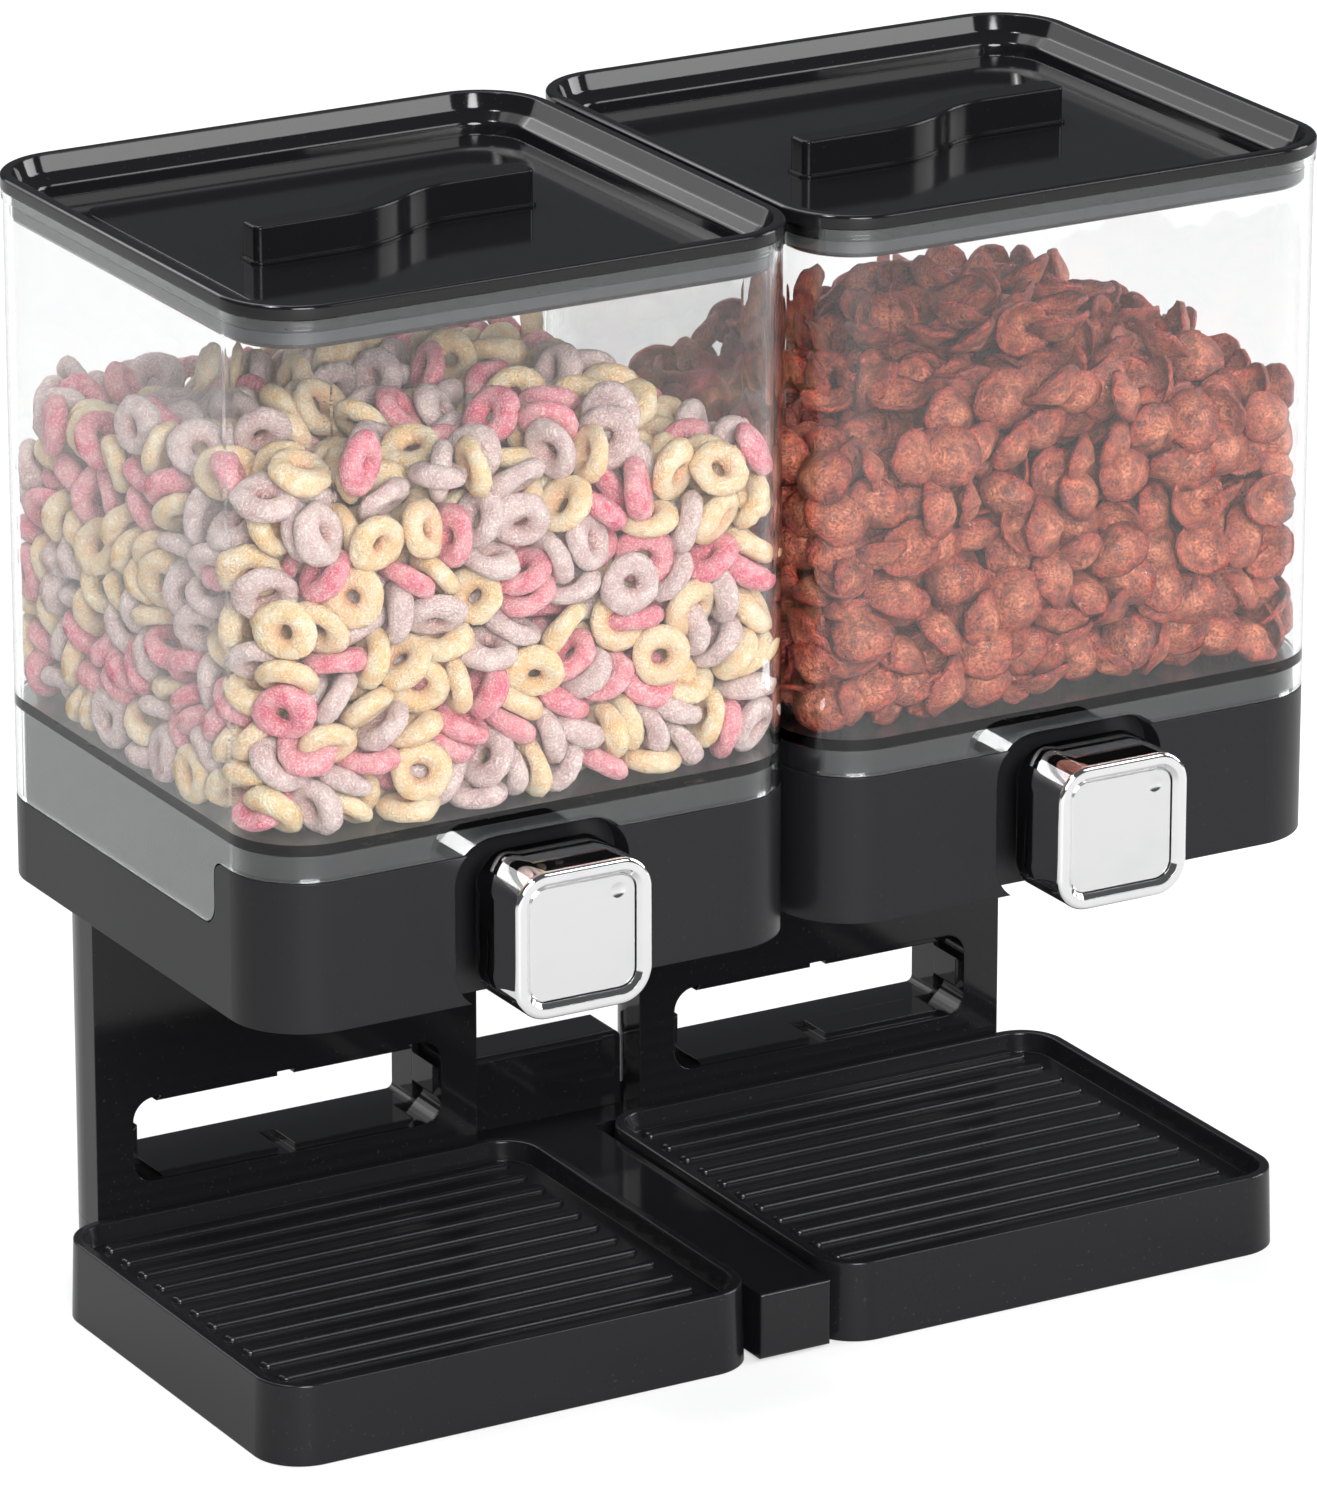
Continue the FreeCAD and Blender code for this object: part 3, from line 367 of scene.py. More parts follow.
def softened(corners, steps=6):
    """A polyline through (inset, height, radius) corners, with an arc at each radius."""
    points = [np.array(corners[0][:2], float)]
    for before, here, after in zip(corners, corners[1:], corners[2:]):
        place = np.array(here[:2], float)
        back, on = np.array(before[:2]) - place, np.array(after[:2]) - place
        back_length, on_length = np.linalg.norm(back), np.linalg.norm(on)
        back, on = back / back_length, on / on_length
        half = math.acos(np.clip(back @ on, -1, 1)) / 2
        reach = min(here[2] / max(math.tan(half), 1e-3), MOST_OF_A_RUN * back_length,
                    MOST_OF_A_RUN * on_length)
        if reach < LEAST_ROUND:
            points.append(place)
            continue
        for share in np.linspace(0, 1, steps + 1):
            points.append(place + back * reach * (1 - share) ** 2 + on * reach * share ** 2)
    points.append(np.array(corners[-1][:2], float))
    return np.array(points)


print("points that round one corner:", len(softened([(0, 0, 0), (0, 9, 2), (9, 9, 0)])) - 2)

# %% [markdown]
# ## Profiles carried round a rectangle
# A lid is the same all the way round, but its rim turns four corners.  Sweeping the profile along
# a curve would pinch it there.  Instead each point of the profile becomes a whole loop, a rounded
# rectangle pulled in by that point's inset, and the loops are joined by faces.

# %% Loops and sweeps
LEAST_CORNER = 0.4              # mm, so that a loop never loses its corners


def rounded(width, depth, corner, inset, steps=14):
    """Points round a rounded rectangle, pulled in by inset."""
    radius = max(corner - inset, LEAST_CORNER)
    x, y = width / 2 - inset - radius, depth / 2 - inset - radius
    angle = np.linspace(0, math.pi / 2, steps + 1)
    corners = ((0, 1, 1), (math.pi / 2, -1, 1), (math.pi, -1, -1), (1.5 * math.pi, 1, -1))
    loop = [np.column_stack([side_x * x + radius * np.cos(angle + turn),
                             side_y * y + radius * np.sin(angle + turn)])
            for turn, side_x, side_y in corners]
    return np.concatenate(loop)


def swept(width, depth, corner, profile, centre):
    """Points and faces of a profile of (inset, height) carried round, closed at both ends."""
    loops = [rounded(width, depth, corner, inset) for inset, _ in profile]
    count = len(loops[0])
    points = np.concatenate([np.column_stack([loop + centre, np.full(count, height)])
                             for loop, (_, height) in zip(loops, profile)])
    faces = [tuple(range(count))]
    for row in range(len(profile) - 1):
        a, b = row * count, (row + 1) * count
        faces += [(a + k, b + k, b + (k + 1) % count, a + (k + 1) % count) for k in range(count)]
    last = (len(profile) - 1) * count
    faces.append(tuple(last + k for k in reversed(range(count))))
    return points, faces


print("points in one loop:", len(rounded(165.0, 165.0, 21.0, 0.0)))

# %% [markdown]
# ## Pieces that move along
# A lid lifts off, and so must the mesh that is drawn for it.  It could be parented by hand, but
# each moving body gets an empty of its own, so a new piece is told which one it rides on.  Its
# size and place are read from the solid's box, so that both stay the same when the model changes.

# %% Turn points in mm into a piece that rides on a body
def solid(name, points, faces, material, body, crease=40.0):
    """An object from points in mm, smooth but for creases sharper than the given angle."""
    mesh = bpy.data.meshes.new(name)
    mesh.from_pydata((np.asarray(points) * MM).tolist(), [], faces)
    mesh.shade_smooth()
    mesh.set_sharp_from_angle(angle=math.radians(crease))
    mesh.materials.append(material)
    item = bpy.data.objects.new(name, mesh)
    bpy.context.scene.collection.objects.link(item)
    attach(item, body)
    return item


def plan_of(node):
    """Width, depth, centre, low and high level of a node's box, in mm."""
    low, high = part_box(node)
    size = (high - low) / MM
    middle = (high + low) / 2 / MM
    return size.x, size.y, np.array([middle.x, middle.y]), low.z / MM, high.z / MM


print("left lid, wide and deep in mm:", [round(v, 1) for v in plan_of("lid_left")[:2]])

# %% [markdown]
# ## The lids
# A lid is a shallow dish that hangs in the hopper's mouth.  Its rim overhangs the wall, a sloping
# wall and a ledge lead down to the floor, and a plug with a groove for the seal hangs below.  On
# the floor a faint raised panel carries the handle.  All of it is read off as insets from the
# rim's outer edge and as levels under the lid's top or above its foot.

# %% The lids
CORNER = 21.7
RECESS = 10.8
PLUG_INSET = 3.5
GROOVE_INSET = 4.7
GROOVE_FOOT, GROOVE_TOP = 1.5, 4.5
PANEL_CORNER = 30.0
PANEL = ((20.6, 10.8), (21.0, 10.4))            # insets, and depths below the top

for side in SIDES:
    width, depth, centre, foot, top = plan_of("lid_" + side)
    dish = [(8.6, top - RECESS, 0), (8.1, top - 7.3, 1.8), (5.0, top - 4.5, 2.3)]
    rim = [(3.2, top - 0.1, 0.5), (2.9, top, 0.4), (0.6, top, 0.6), (0.0, top - 0.6, 0.6),
           (0.0, top - 3.7, 0.3), (0.3, top - 4.0, 0.2), (PLUG_INSET, top - 4.0, 0.2)]
    groove = [(PLUG_INSET, foot + GROOVE_TOP, 0), (GROOVE_INSET, foot + GROOVE_TOP, 0),
              (GROOVE_INSET, foot + GROOVE_FOOT, 0), (PLUG_INSET, foot + GROOVE_FOOT, 0)]
    plug_foot = [(PLUG_INSET, foot + 1.0, 0.8), (4.3, foot, 0.8), (6.0, foot, 0)]
    profile = softened(dish + rim + groove + plug_foot)
    body = "lid_unit_" + side
    shell = solid("lid_shell_" + side, *swept(width, depth, CORNER, profile, centre), lid_gloss,
                  body)
    panel = [(inset, top - depth) for inset, depth in PANEL]
    solid("lid_panel_" + side, *swept(width, depth, PANEL_CORNER, panel, centre), lid_gloss, body)
    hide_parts("lid_" + side)
print("lids drawn, points in the profile:", len(profile))

# %% [markdown]
# ## Food that lies as it was poured
# The food is what the clear walls are for.  Placing pieces by hand or at random shows at once,
# because they float or cut through each other, and a full rigid body simulation of two thousand
# rings takes minutes.  Here each piece is a small rigid cluster of balls.  Balls are quick to
# test: a grid of cells as wide as their reach finds all pairs that touch.

# %% Which balls touch
def touching(points, reach):
    """Pairs of points nearer than reach, found through a grid of cells of that size."""
    cell = np.floor(points / reach).astype(np.int64)
    cell -= cell.min(0) - 1
    span = cell.max(0) + 2
    key = (cell[:, 0] * span[1] + cell[:, 1]) * span[2] + cell[:, 2]
    order = np.argsort(key, kind="stable")
    ranked = key[order]
    first, second = [], []
    shifts = [(x, y, z) for x in (-1, 0, 1) for y in (-1, 0, 1) for z in (-1, 0, 1)]
    for x, y, z in shifts:
        step = (x * span[1] + y) * span[2] + z
        if step < 0:
            continue
        start = np.searchsorted(ranked, ranked + step, "left")
        stop = np.searchsorted(ranked, ranked + step, "right")
        if step == 0:
            start = np.arange(len(ranked)) + 1
        for slot in range(int((stop - start).max(initial=0))):
            found = np.nonzero(start + slot < stop)[0]
            first.append(order[found])
            second.append(order[start[found] + slot])
    a, b = np.concatenate(first), np.concatenate(second)
    near = ((points[a] - points[b]) ** 2).sum(1) < reach * reach
    return a[near], b[near]


row_of_three = np.array([[0.0, 0.0, 0.0], [0.9, 0.0, 0.0], [1.8, 0.0, 0.0]])
print("touching pairs in a row of three balls:", len(touching(row_of_three, 1.0)[0]))

# %% [markdown]
# ## The tub
# The hopper's inside is a box with round upright corners.  Testing balls against its mesh would
# be slow, but a rounded rectangle needs only a few sums: what lies past its straight core is
# pulled back to the corner's circle.

# %% Keep balls inside the tub
def held(points, ball, low, high, corner):
    """Balls moved back inside an upright tub with round corners."""
    room = (high - low)[:2] / 2 - ball
    middle = (high + low)[:2] / 2
    offset = points[:, :2] - middle
    far = np.minimum(np.abs(offset), room)
    core = room - (corner - ball)
    past = np.maximum(far - core, 0)
    length = np.linalg.norm(past, axis=1)
    past *= np.minimum(1, (corner - ball) / np.maximum(length, 1e-9))[:, None]
    inside = points.copy()
    inside[:, :2] = middle + np.sign(offset) * (np.minimum(far, core) + past)
    inside[:, 2] = np.maximum(points[:, 2], low[2] + ball)
    return inside


tub_low, tub_high = np.array([-80.0, -80.0, 0.0]), np.array([80.0, 80.0, 130.0])
stray = held(np.array([[90.0, 90.0, -5.0]]), 3.0, tub_low, tub_high, 18.0)
print("a ball outside the corner comes back to", stray.round(1).tolist())

# %% [markdown]
# ## Where the pieces start
# The pieces start on a jittered grid below the level they are poured to, each turned its own way.
# Rings may lie any way.  Flakes that slide down a wall end up with their backs to it, so beside a
# wall most of them already start like that.

# %% Scatter the pieces
BESIDE_WALL = 17.0              # mm
BACK_OR_FRONT = (0.8, 0.2)      # the shares that turn their back or their front to the wall
JITTER = 0.3


def turned(quaternions):
    """Rotation matrices from rows of w, x, y, z."""
    w, x, y, z = quaternions.T
    rows = [1 - 2 * (y * y + z * z), 2 * (x * y - w * z), 2 * (x * z + w * y),
            2 * (x * y + w * z), 1 - 2 * (x * x + z * z), 2 * (y * z - w * x),
            2 * (x * z - w * y), 2 * (y * z + w * x), 1 - 2 * (x * x + y * y)]
    return np.stack(rows, 1).reshape(-1, 3, 3)


def facing_walls(spots, low, high, rng):
    """Turns for cups: beside a wall most put their back to it, elsewhere they lie any way."""
    offset = (2 * spots - low - high)[:, :2]
    past = np.abs(offset) - (high - low)[:2]
    side = past.argmax(1)
    rows = np.arange(len(spots))
    outward = np.zeros(spots.shape)
    outward[rows, side] = np.sign(offset[rows, side])
    near = (past.max(1) > -2 * BESIDE_WALL)[:, None]
    way = rng.choice((1, -1), (len(spots), 1), p=BACK_OR_FRONT)
    upright = np.where(near, -1.6 * outward * way, (0, 0, 1.0))
    z = upright + rng.normal(size=spots.shape) * np.where(near, 0.5, 1.0)
    x = np.cross(z, rng.normal(size=spots.shape))
    z, x = (v / np.linalg.norm(v, axis=1, keepdims=True) for v in (z, x))
    return np.stack([x, np.cross(z, x), z], 2)


def scattered(low, high, heap, pitch, rng, flat):
    """Jittered places below the surface heap(x, y), and a turn for each."""
    across = np.round((high - low)[:2] / pitch).astype(int)
    spread = (high - low)[:2] / across
    layers = int((high[2] - low[2]) / pitch)
    k, j, i = np.meshgrid(np.arange(layers), np.arange(across[1]), np.arange(across[0]),
                          indexing="ij")
    spots = np.stack([i, j, k], -1).reshape(-1, 3) + 0.5
    spots = low + spots * (spread[0], spread[1], pitch)
    spots = spots[spots[:, 2] < heap(spots[:, 0], spots[:, 1])]
    spots += rng.uniform(-JITTER, JITTER, spots.shape) * pitch
    if flat:
        return spots, facing_walls(spots, low, high, rng)
    turn = rng.normal(size=(len(spots), 4))
    return spots, turned(turn / np.linalg.norm(turn, axis=1, keepdims=True))


half_turn = turned(np.array([[0.0, 0.0, 0.0, 1.0]]))[0]
print("half a turn about z takes x to", (half_turn @ (1, 0, 0)).tolist())

# %% [markdown]
# ## Let them settle
# The clusters sink a little at each step.  Balls of different clusters that overlap push each
# other apart, and after every push a cluster is set back to its own shape: the rotation that fits
# its moved balls best comes from a singular value decomposition.  Late in the run they hardly
# sink any more, so that what still overlaps can work itself out.

# %% Let clusters of balls settle in a tub
DRAG = 0.85                     # the share of its speed that a cluster keeps
PULL, LATE_PULL = 0.05, 0.005   # mm per step and step
LATE = 0.55                     # from this share of the steps on
TOP_SPEED = 1.2
PUSH = 0.45
ROUNDS = 4


def balls_of(centre, turn, cluster):
    """The places of all balls of all clusters."""
    return (centre[:, None] + np.einsum("nij,kj->nki", turn, cluster)).reshape(-1, 3)


def pushed_apart(points, body, ball):
    """Balls of different clusters that overlap, moved away from each other."""
    a, b = touching(points, 2 * ball)
    apart = body[a] != body[b]
    a, b = a[apart], b[apart]
    gap = points[a] - points[b]
    length = np.linalg.norm(gap, axis=1)
    push = gap * (PUSH * (2 * ball - length) / np.maximum(length, 1e-6))[:, None]
    for axis in range(3):
        points[:, axis] += np.bincount(a, push[:, axis], len(points))
        points[:, axis] -= np.bincount(b, push[:, axis], len(points))
    return points


def settle(cluster, ball, low, high, corner, heap, pitch, steps, seed, flat=False):
    """Let clusters sink and rest in a tub.  Returns their centres and turns, in mm."""
    centre, turn = scattered(low, high, heap, pitch, np.random.default_rng(seed), flat)
    count, size = len(centre), len(cluster)
    body = np.repeat(np.arange(count), size)
    speed = np.zeros((count, 3))
    for step in range(steps):
        speed *= DRAG
        speed[:, 2] -= PULL if step < LATE * steps else LATE_PULL
        before = centre
        centre = centre + np.clip(speed, -TOP_SPEED, TOP_SPEED)
        for _ in range(ROUNDS):
            points = pushed_apart(balls_of(centre, turn, cluster), body, ball)
            shaped = held(points, ball, low, high, corner).reshape(count, size, 3)
            centre = shaped.mean(1)
            cross = np.einsum("nki,kj->nij", shaped - centre[:, None], cluster)
            u, _, v = np.linalg.svd(cross)
            u[:, :, 2] *= np.sign(np.linalg.det(u @ v))[:, None]
            turn = u @ v
            points = balls_of(centre, turn, cluster)
            back = (held(points, ball, low, high, corner) - points).reshape(count, size, 3)
            centre = centre + back.max(1).clip(0) + back.min(1).clip(None, 0)
        speed = 0.5 * speed + 0.5 * (centre - before)
    return centre, turn


pair = pushed_apart(np.array([[0.0, 0.0, 0.0], [3.0, 0.0, 0.0]]), np.arange(2), 3.0)
print("two balls 3 mm apart, once pushed, are apart by", round(float(pair[1, 0] - pair[0, 0]), 2))

# %% [markdown]
# ## One ring
# A breakfast ring is a fat torus with a puffed, uneven skin.  The torus primitive is too perfect,
# and a displacement modifier on two thousand copies is slow.  So a few rings are computed point by
# point, each with its own thickness and swelling.  Every point also keeps a shade, which is high
# inside the hole, where the finish paints the shade that falls there with a deeper colour.

# %% The shape of a ring
def lumps(points, size, rng, strength):
    """Smooth random swelling of a set of points, as factors near 1."""
    waves = 5
    total = np.zeros(len(points))
    for _ in range(waves):
        wave = rng.normal(size=3) * size
        total += np.sin(points @ wave + rng.uniform(0, 6.28))
    return 1 + strength * total / waves


def ring_shape(rng, around=26, across=14, middle=5.1, thick=3.25, flatter=0.88):
    """Points, faces and shades of a fat torus."""
    middle, thick = middle * rng.uniform(0.92, 1.05), thick * rng.uniform(0.92, 1.08)
    u = np.arange(around) / around * 2 * math.pi
    v = np.arange(across) / across * 2 * math.pi
    uu, vv = np.meshgrid(u, v, indexing="ij")
    tube = thick * (1 + 0.1 * np.sin(uu + rng.uniform(0, 6))
                    + 0.07 * np.sin(2 * uu + rng.uniform(0, 6)))
    reach = middle + tube * np.cos(vv)
    points = np.stack([reach * np.cos(uu), reach * np.sin(uu), flatter * tube * np.sin(vv)],
                      -1).reshape(-1, 3)
    points *= (lumps(points, 0.4, rng, 0.09) * lumps(points, 1.5, rng, 0.05))[:, None]
    i, j = np.meshgrid(np.arange(around), np.arange(across), indexing="ij")
    i2, j2 = (i + 1) % around, (j + 1) % across
    faces = np.stack([i * across + j, i2 * across + j, i2 * across + j2, i * across + j2], -1)
    # the shade rises towards the hole, where the finish paints shade with a deeper colour
    return points, faces.reshape(-1, 4), np.clip(-np.cos(vv), 0, 1).reshape(-1) ** 1.5


food_rng = np.random.default_rng(7)
ring_shapes = [ring_shape(food_rng) for _ in range(8)]
print("rings made:", len(ring_shapes), "widths in mm:",
      [round(float(np.ptp(points[:, 0])), 1) for points, _, _ in ring_shapes])

# %% [markdown]
# ## One flake
# A chocolate flake is a thin shell curled like a shallow cup, with dents and a wavy rim.  A flat
# plane with a solidify modifier would have an even edge.  Two grids joined at the rim can share
# their dents and grow thinner towards it.  The shade is high in the middle, where the finish paints
# a paler colour that is partly a toasted spot and partly a painted highlight on the dome.

# %% The shape of a flake
DENT = 0.7                      # mm


def flake_side(side, rim, angle, rings, fold, oval, curl, thick, dents):
    """One face of the cup: its middle point and then ring after ring."""
    share = (np.arange(rings) + 1) / rings
    reach = share[:, None] * rim[None]
    x, y = reach * np.cos(angle), reach * np.sin(angle)
    z = (x * x * fold + y * y) / (2 * curl) * (1 - 0.36 * share[:, None] ** 2)
    grid = np.stack([x, y * oval, z], -1).reshape(-1, 3)
    grid = np.concatenate([[[0.0, 0.0, 0.0]], grid])
    blister = lumps(grid, 0.75, dents, 1.0) - 1
    taper = np.concatenate([[1.0], np.repeat(1 - 0.1 * share, len(angle))])
    grid[:, 2] += side * thick * taper + DENT * blister
    return grid


def cup_faces(rings, around):
    """Faces of two such grids, one turned over, and of the rim between them."""
    count = 1 + rings * around
    faces = []
    for base, flip in ((0, False), (count, True)):
        for k in range(around):
            n = (k + 1) % around
            fan = [base, base + 1 + k, base + 1 + n, base + 1 + n]
            faces.append(fan[::-1] if flip else fan)
            for r in range(rings - 1):
                a, b = base + 1 + r * around, base + 1 + (r + 1) * around
                quad = [a + k, b + k, b + n, a + n]
                faces.append(quad[::-1] if flip else quad)
    edge = 1 + (rings - 1) * around
    for k in range(around):
        n = (k + 1) % around
        faces.append([edge + k, count + edge + k, count + edge + n, edge + n])
    return np.array(faces)


def flake_shape(rng, around=22, rings=6, half=9.1, curl=5.6, thick=0.75):
    """Points, faces and shades of a curled cup."""
    angle = np.arange(around) / around * 2 * math.pi
    half *= rng.uniform(0.78, 1.04)
    rim = half * (1 + 0.04 * np.sin(3 * angle + rng.uniform(0, 6))
                  + 0.02 * np.sin(7 * angle + rng.uniform(0, 6)))
    fold, oval = rng.uniform(0.8, 1.1), rng.uniform(0.78, 1.0)
    seed = rng.integers(1000)
    points = np.concatenate([
        flake_side(side, rim, angle, rings, fold, oval, curl, thick, np.random.default_rng(seed))
        for side in (1, -1)])
    points[:, 2] -= points[:, 2].mean()
    share = (np.arange(rings) + 1) / rings
    # high in the middle, where the finish paints a toasted spot and a painted highlight
    shade = np.concatenate([[1.0], np.repeat(1 - share ** 1.5, around)])
    return points, cup_faces(rings, around), np.concatenate([shade, shade])


flake_shapes = [flake_shape(food_rng) for _ in range(10)]
print("flakes made:", len(flake_shapes), "widths in mm:",
      [round(float(np.ptp(points[:, 0])), 1) for points, _, _ in flake_shapes])

# %% [markdown]
# ## Their stand-ins
# While they settle, a ring is eight balls in a circle, and a flake is fifteen balls in a cup.
# More balls would fit the shapes more closely, but the time grows with their number.  The balls
# are a little smaller than the food is thick, so the pieces touch instead of hovering.

# %% Clusters of balls
def ball_ring(count=8, reach=5.1):
    """The middles of the balls of a ring."""
    a = np.arange(count) / count * 2 * math.pi
    return np.stack([reach * np.cos(a), reach * np.sin(a), 0 * a], 1)


def ball_cup(curl=7.5):
    """The middles of the balls of a flake."""
    balls = [(0.0, 0.0)]
    for count, reach in ((5, 3.6), (9, 6.8)):
        balls += [(reach * math.cos(6.2832 * k / count), reach * math.sin(6.2832 * k / count))
                  for k in range(count)]
    flat = np.array(balls)
    cup = np.column_stack([flat, (flat ** 2).sum(1) / (2 * curl)])
    return cup - cup.mean(0)


print("balls in a ring and in a flake:", len(ball_ring()), len(ball_cup()))

# %% [markdown]
# ## Finishes for the food
# Puffed grain is matt, a little translucent and dusted with sugar.  The flakes are darker, with
# the same dry skin and a coarser grain.  One colour with a bump would look like clay.  So the
# colour runs from an edge colour to a full one in soft patches, and where the shape keeps a high
# shade it carries painted light: a deeper colour paints the shade in the rings' holes, and a paler
# one paints the flakes' toasted spot together with a highlight on their domes.  It also varies
# from copy to copy, and carries dark pits and pale sugar.

# %% Finish of the grain
SUGAR = (0.9, 0.88, 0.84, 1)


def grain_finish(name, edge, colour, painted_light_colour, pale, painted_light, dusting, fleck, polish, soft,
                 fine=1700.0):
    """From edge to colour in patches, painted light where shade is high, paler copies, pits, sugar.
    """
    finish = Finish(name)
    shade = finish.add("Attribute", {"attribute_name": "shade"}, {}, "Fac")
    tone = finish.add("Attribute", {"attribute_name": "tone"}, {}, "Fac")
    patch = finish.ramp(finish.noise(260.0, 3.0), 0.36, 0.64)
    pits = finish.ramp(finish.noise(fine, 2.0, roughness=0.7), 0.38, 0.58)
    sugar = finish.ramp(finish.noise(1700.0, 2.0), 0.5, 0.64)
    look = finish.blend(patch, (*edge, 1), (*colour, 1))
    look = finish.blend(0.35 * tone, look, (*pale, 1))
    # painted light where shade is high: shade in the rings' holes, a highlight and toasted spot on
    # flakes
    look = finish.blend(painted_light * shade * (0.25 + patch), look, (*painted_light_colour, 1))
    look = finish.blend(fleck * (1 - pits), look, (*(0.3 * v for v in edge), 1))
    look = finish.blend(dusting * sugar, look, SUGAR)
    skin = finish.bump(pits, 0.00035, 0.9)
    normal = finish.bump(finish.noise(330.0, 2.0), 0.0012, 0.6, skin)
    return finish.done(Surface=finish.surface(Base_Color=look, Roughness=polish + 0.2 * pits,
                                              Normal=normal, Subsurface_Weight=soft,
                                              Subsurface_Radius=(0.002, 0.001, 0.0006)))


# for the rings the painted light is a deeper colour that paints the shade in their holes
puffed = dict(painted_light=0.7, polish=0.55, soft=0.18)
ring_colours = {
    "pink": grain_finish("ring_pink", (0.80, 0.11, 0.19), (0.91, 0.38, 0.42),
                         (0.66, 0.05, 0.09), (0.93, 0.55, 0.52), dusting=0.28, fleck=0.2, **puffed),
    "cream": grain_finish("ring_cream", (0.90, 0.58, 0.26), (0.93, 0.79, 0.54),
                          (0.74, 0.26, 0.09), (0.93, 0.64, 0.44), dusting=0.28, fleck=0.16,
                          **puffed),
    "lilac": grain_finish("ring_lilac", (0.64, 0.42, 0.41), (0.82, 0.64, 0.60),
                          (0.46, 0.14, 0.12), (0.88, 0.68, 0.62), dusting=0.32, fleck=0.22,
                          **puffed),
}
# for the flakes the painted light is a paler toasted spot and a painted highlight in their middles
flake_brown = grain_finish("flake_brown", (0.12, 0.011, 0.007), (0.46, 0.056, 0.024),
                           (0.90, 0.34, 0.18), (0.56, 0.085, 0.04), painted_light=0.6, dusting=0.03,
                           fleck=0.6, polish=0.34, soft=0.0, fine=1250.0)
print("food finishes:", [*ring_colours, flake_brown.name])

# %% [markdown]
# ## From places to meshes
# Two thousand objects would be heavy to handle.  All pieces of one colour become one mesh, which
# rides on its hopper and lifts out with it.  Each point keeps its shade, where the finish paints
# light and shade, and each copy gets a tone of its own, so that the finish can tell them apart.

# %% Merge placed copies into one mesh
GOLDEN = 0.618                  # steps of this share spread the tones evenly


def merged(name, shapes, centres, turns, which, material, body):
    """One object from copies of a few shapes, with a shade per point and a tone per copy."""
    all_points, all_faces, all_shades, offset = [], [], [], 0
    for centre, turn, pick in zip(centres, turns, which):
        points, faces, shade = shapes[pick % len(shapes)]
        all_points.append(points @ turn.T + centre)
        all_faces.append(faces + offset)
        all_shades.append(np.stack([shade, np.full(len(shade), (pick * GOLDEN) % 1.0)]))
        offset += len(points)
    points = np.concatenate(all_points) * MM
    cleaned = [tuple(dict.fromkeys(face)) for face in np.concatenate(all_faces).tolist()]
    mesh = bpy.data.meshes.new(name)
    mesh.from_pydata(points.tolist(), [], cleaned)
    mesh.shade_smooth()
    mesh.materials.append(material)
    for word, values in zip(("shade", "tone"), np.concatenate(all_shades, 1)):
        mesh.attributes.new(word, "FLOAT", "POINT").data.foreach_set("value", values)
    item = bpy.data.objects.new(name, mesh)
    bpy.context.scene.collection.objects.link(item)
    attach(item, body)
    print(name, "copies:", len(all_points), "points:", len(points))


# %% [markdown]
# ## The room in a hopper
# A hopper's wall is a little over two millimetres thick, and the food reaches from the tub's
# floor up to the seal of the lid at most.  The sides and the top of this room are read from the
# solids' boxes.  Of the pieces that settle in it, those deep in the heap can't be seen.  They
# are needed while the others come to rest on them, and are left out of the mesh afterwards.

# %% Measure the room and find what is seen
TUB_WALL = 2.5                  # mm, the wall and a little air
TUB_FLOOR = 177.5               # mm above the table
TUB_CORNER = 18.8
SEEN_DEPTH = 42.0               # how far the eye gets between the pieces
COLUMN = 20.0                   # the heap's top is looked up in columns of this width


def hopper_room(side):
    """Low and high corner of the room inside a hopper, in mm."""
    low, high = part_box("hopper_" + side)
    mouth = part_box("lid_seal_" + side)[0].z / MM
    return (np.array([low.x / MM + TUB_WALL, low.y / MM + TUB_WALL, TUB_FLOOR]),
            np.array([high.x / MM - TUB_WALL, high.y / MM - TUB_WALL, mouth]))


def seen_pieces(centre, low, high):
    """Which pieces lie near a wall or near the top of the heap."""
    side = np.minimum(centre[:, :2] - low[:2], high[:2] - centre[:, :2]).min(1)
    column = ((centre[:, :2] - low[:2]) / COLUMN).astype(int)
    key = column[:, 0] * 100 + column[:, 1]
    top = np.zeros(key.max() + 1)
    np.maximum.at(top, key, centre[:, 2])
    return np.nonzero((side < SEEN_DEPTH) | (centre[:, 2] > top[key] - SEEN_DEPTH))[0]


for side in SIDES:
    low, high = hopper_room(side)
    print(side, "room in mm:", (high - low).round(1).tolist())

# %% [markdown]
# ## Pour the rings
# Poured food lies highest under the scoop and falls off to the walls.  A level heap would look
# machined, so the level is a low round hill, a little higher towards the left.  Rings are light,
# so they keep the slope they were poured with.  The three colours are drawn at random.

# %% The rings
STEPS = 90


def ring_heap(x, y):
    """The level the rings are poured to: a little higher in the middle."""
    hill = 14 * np.exp(-((x + 84) ** 2 + (y + 5) ** 2) / 3500.0)
    return 279 + hill - 0.03 * (x + 84) - 0.02 * y


low, high = hopper_room("left")
centre, turn = settle(ball_ring(), 3.1, low, high, TUB_CORNER, ring_heap, pitch=12.5, steps=STEPS,
                      seed=11)
kept = seen_pieces(centre, low, high)
colour_of = food_rng.choice(3, len(centre), p=[0.27, 0.38, 0.35])
for number, (word, material) in enumerate(ring_colours.items()):
    chosen = kept[colour_of[kept] == number]
    merged("rings_" + word, ring_shapes, centre[chosen], turn[chosen], chosen, material,
           "hopper_unit_left")
ring_top = round(float(np.quantile(centre[:, 2], 0.97)), 1)
print("rings kept:", len(kept), "of", len(centre), "top at", ring_top)

# %% [markdown]
# ## Pour the flakes
# Flakes hook into each other, so their hill is steeper than that of the rings, and one corner at
# the back stays low.  They settle like the rings, only that those at the walls start with their
# backs to them.

# %% The flakes
def flake_heap(x, y):
    """The level the flakes are poured to: high in the middle, low at the back left."""
    hill = 31 * np.exp(-((x - 88) ** 2 + (y + 5) ** 2) / 4200.0)
    return 262 + hill - 0.0068 * np.maximum(64 - x, 0) * np.maximum(y, 0)


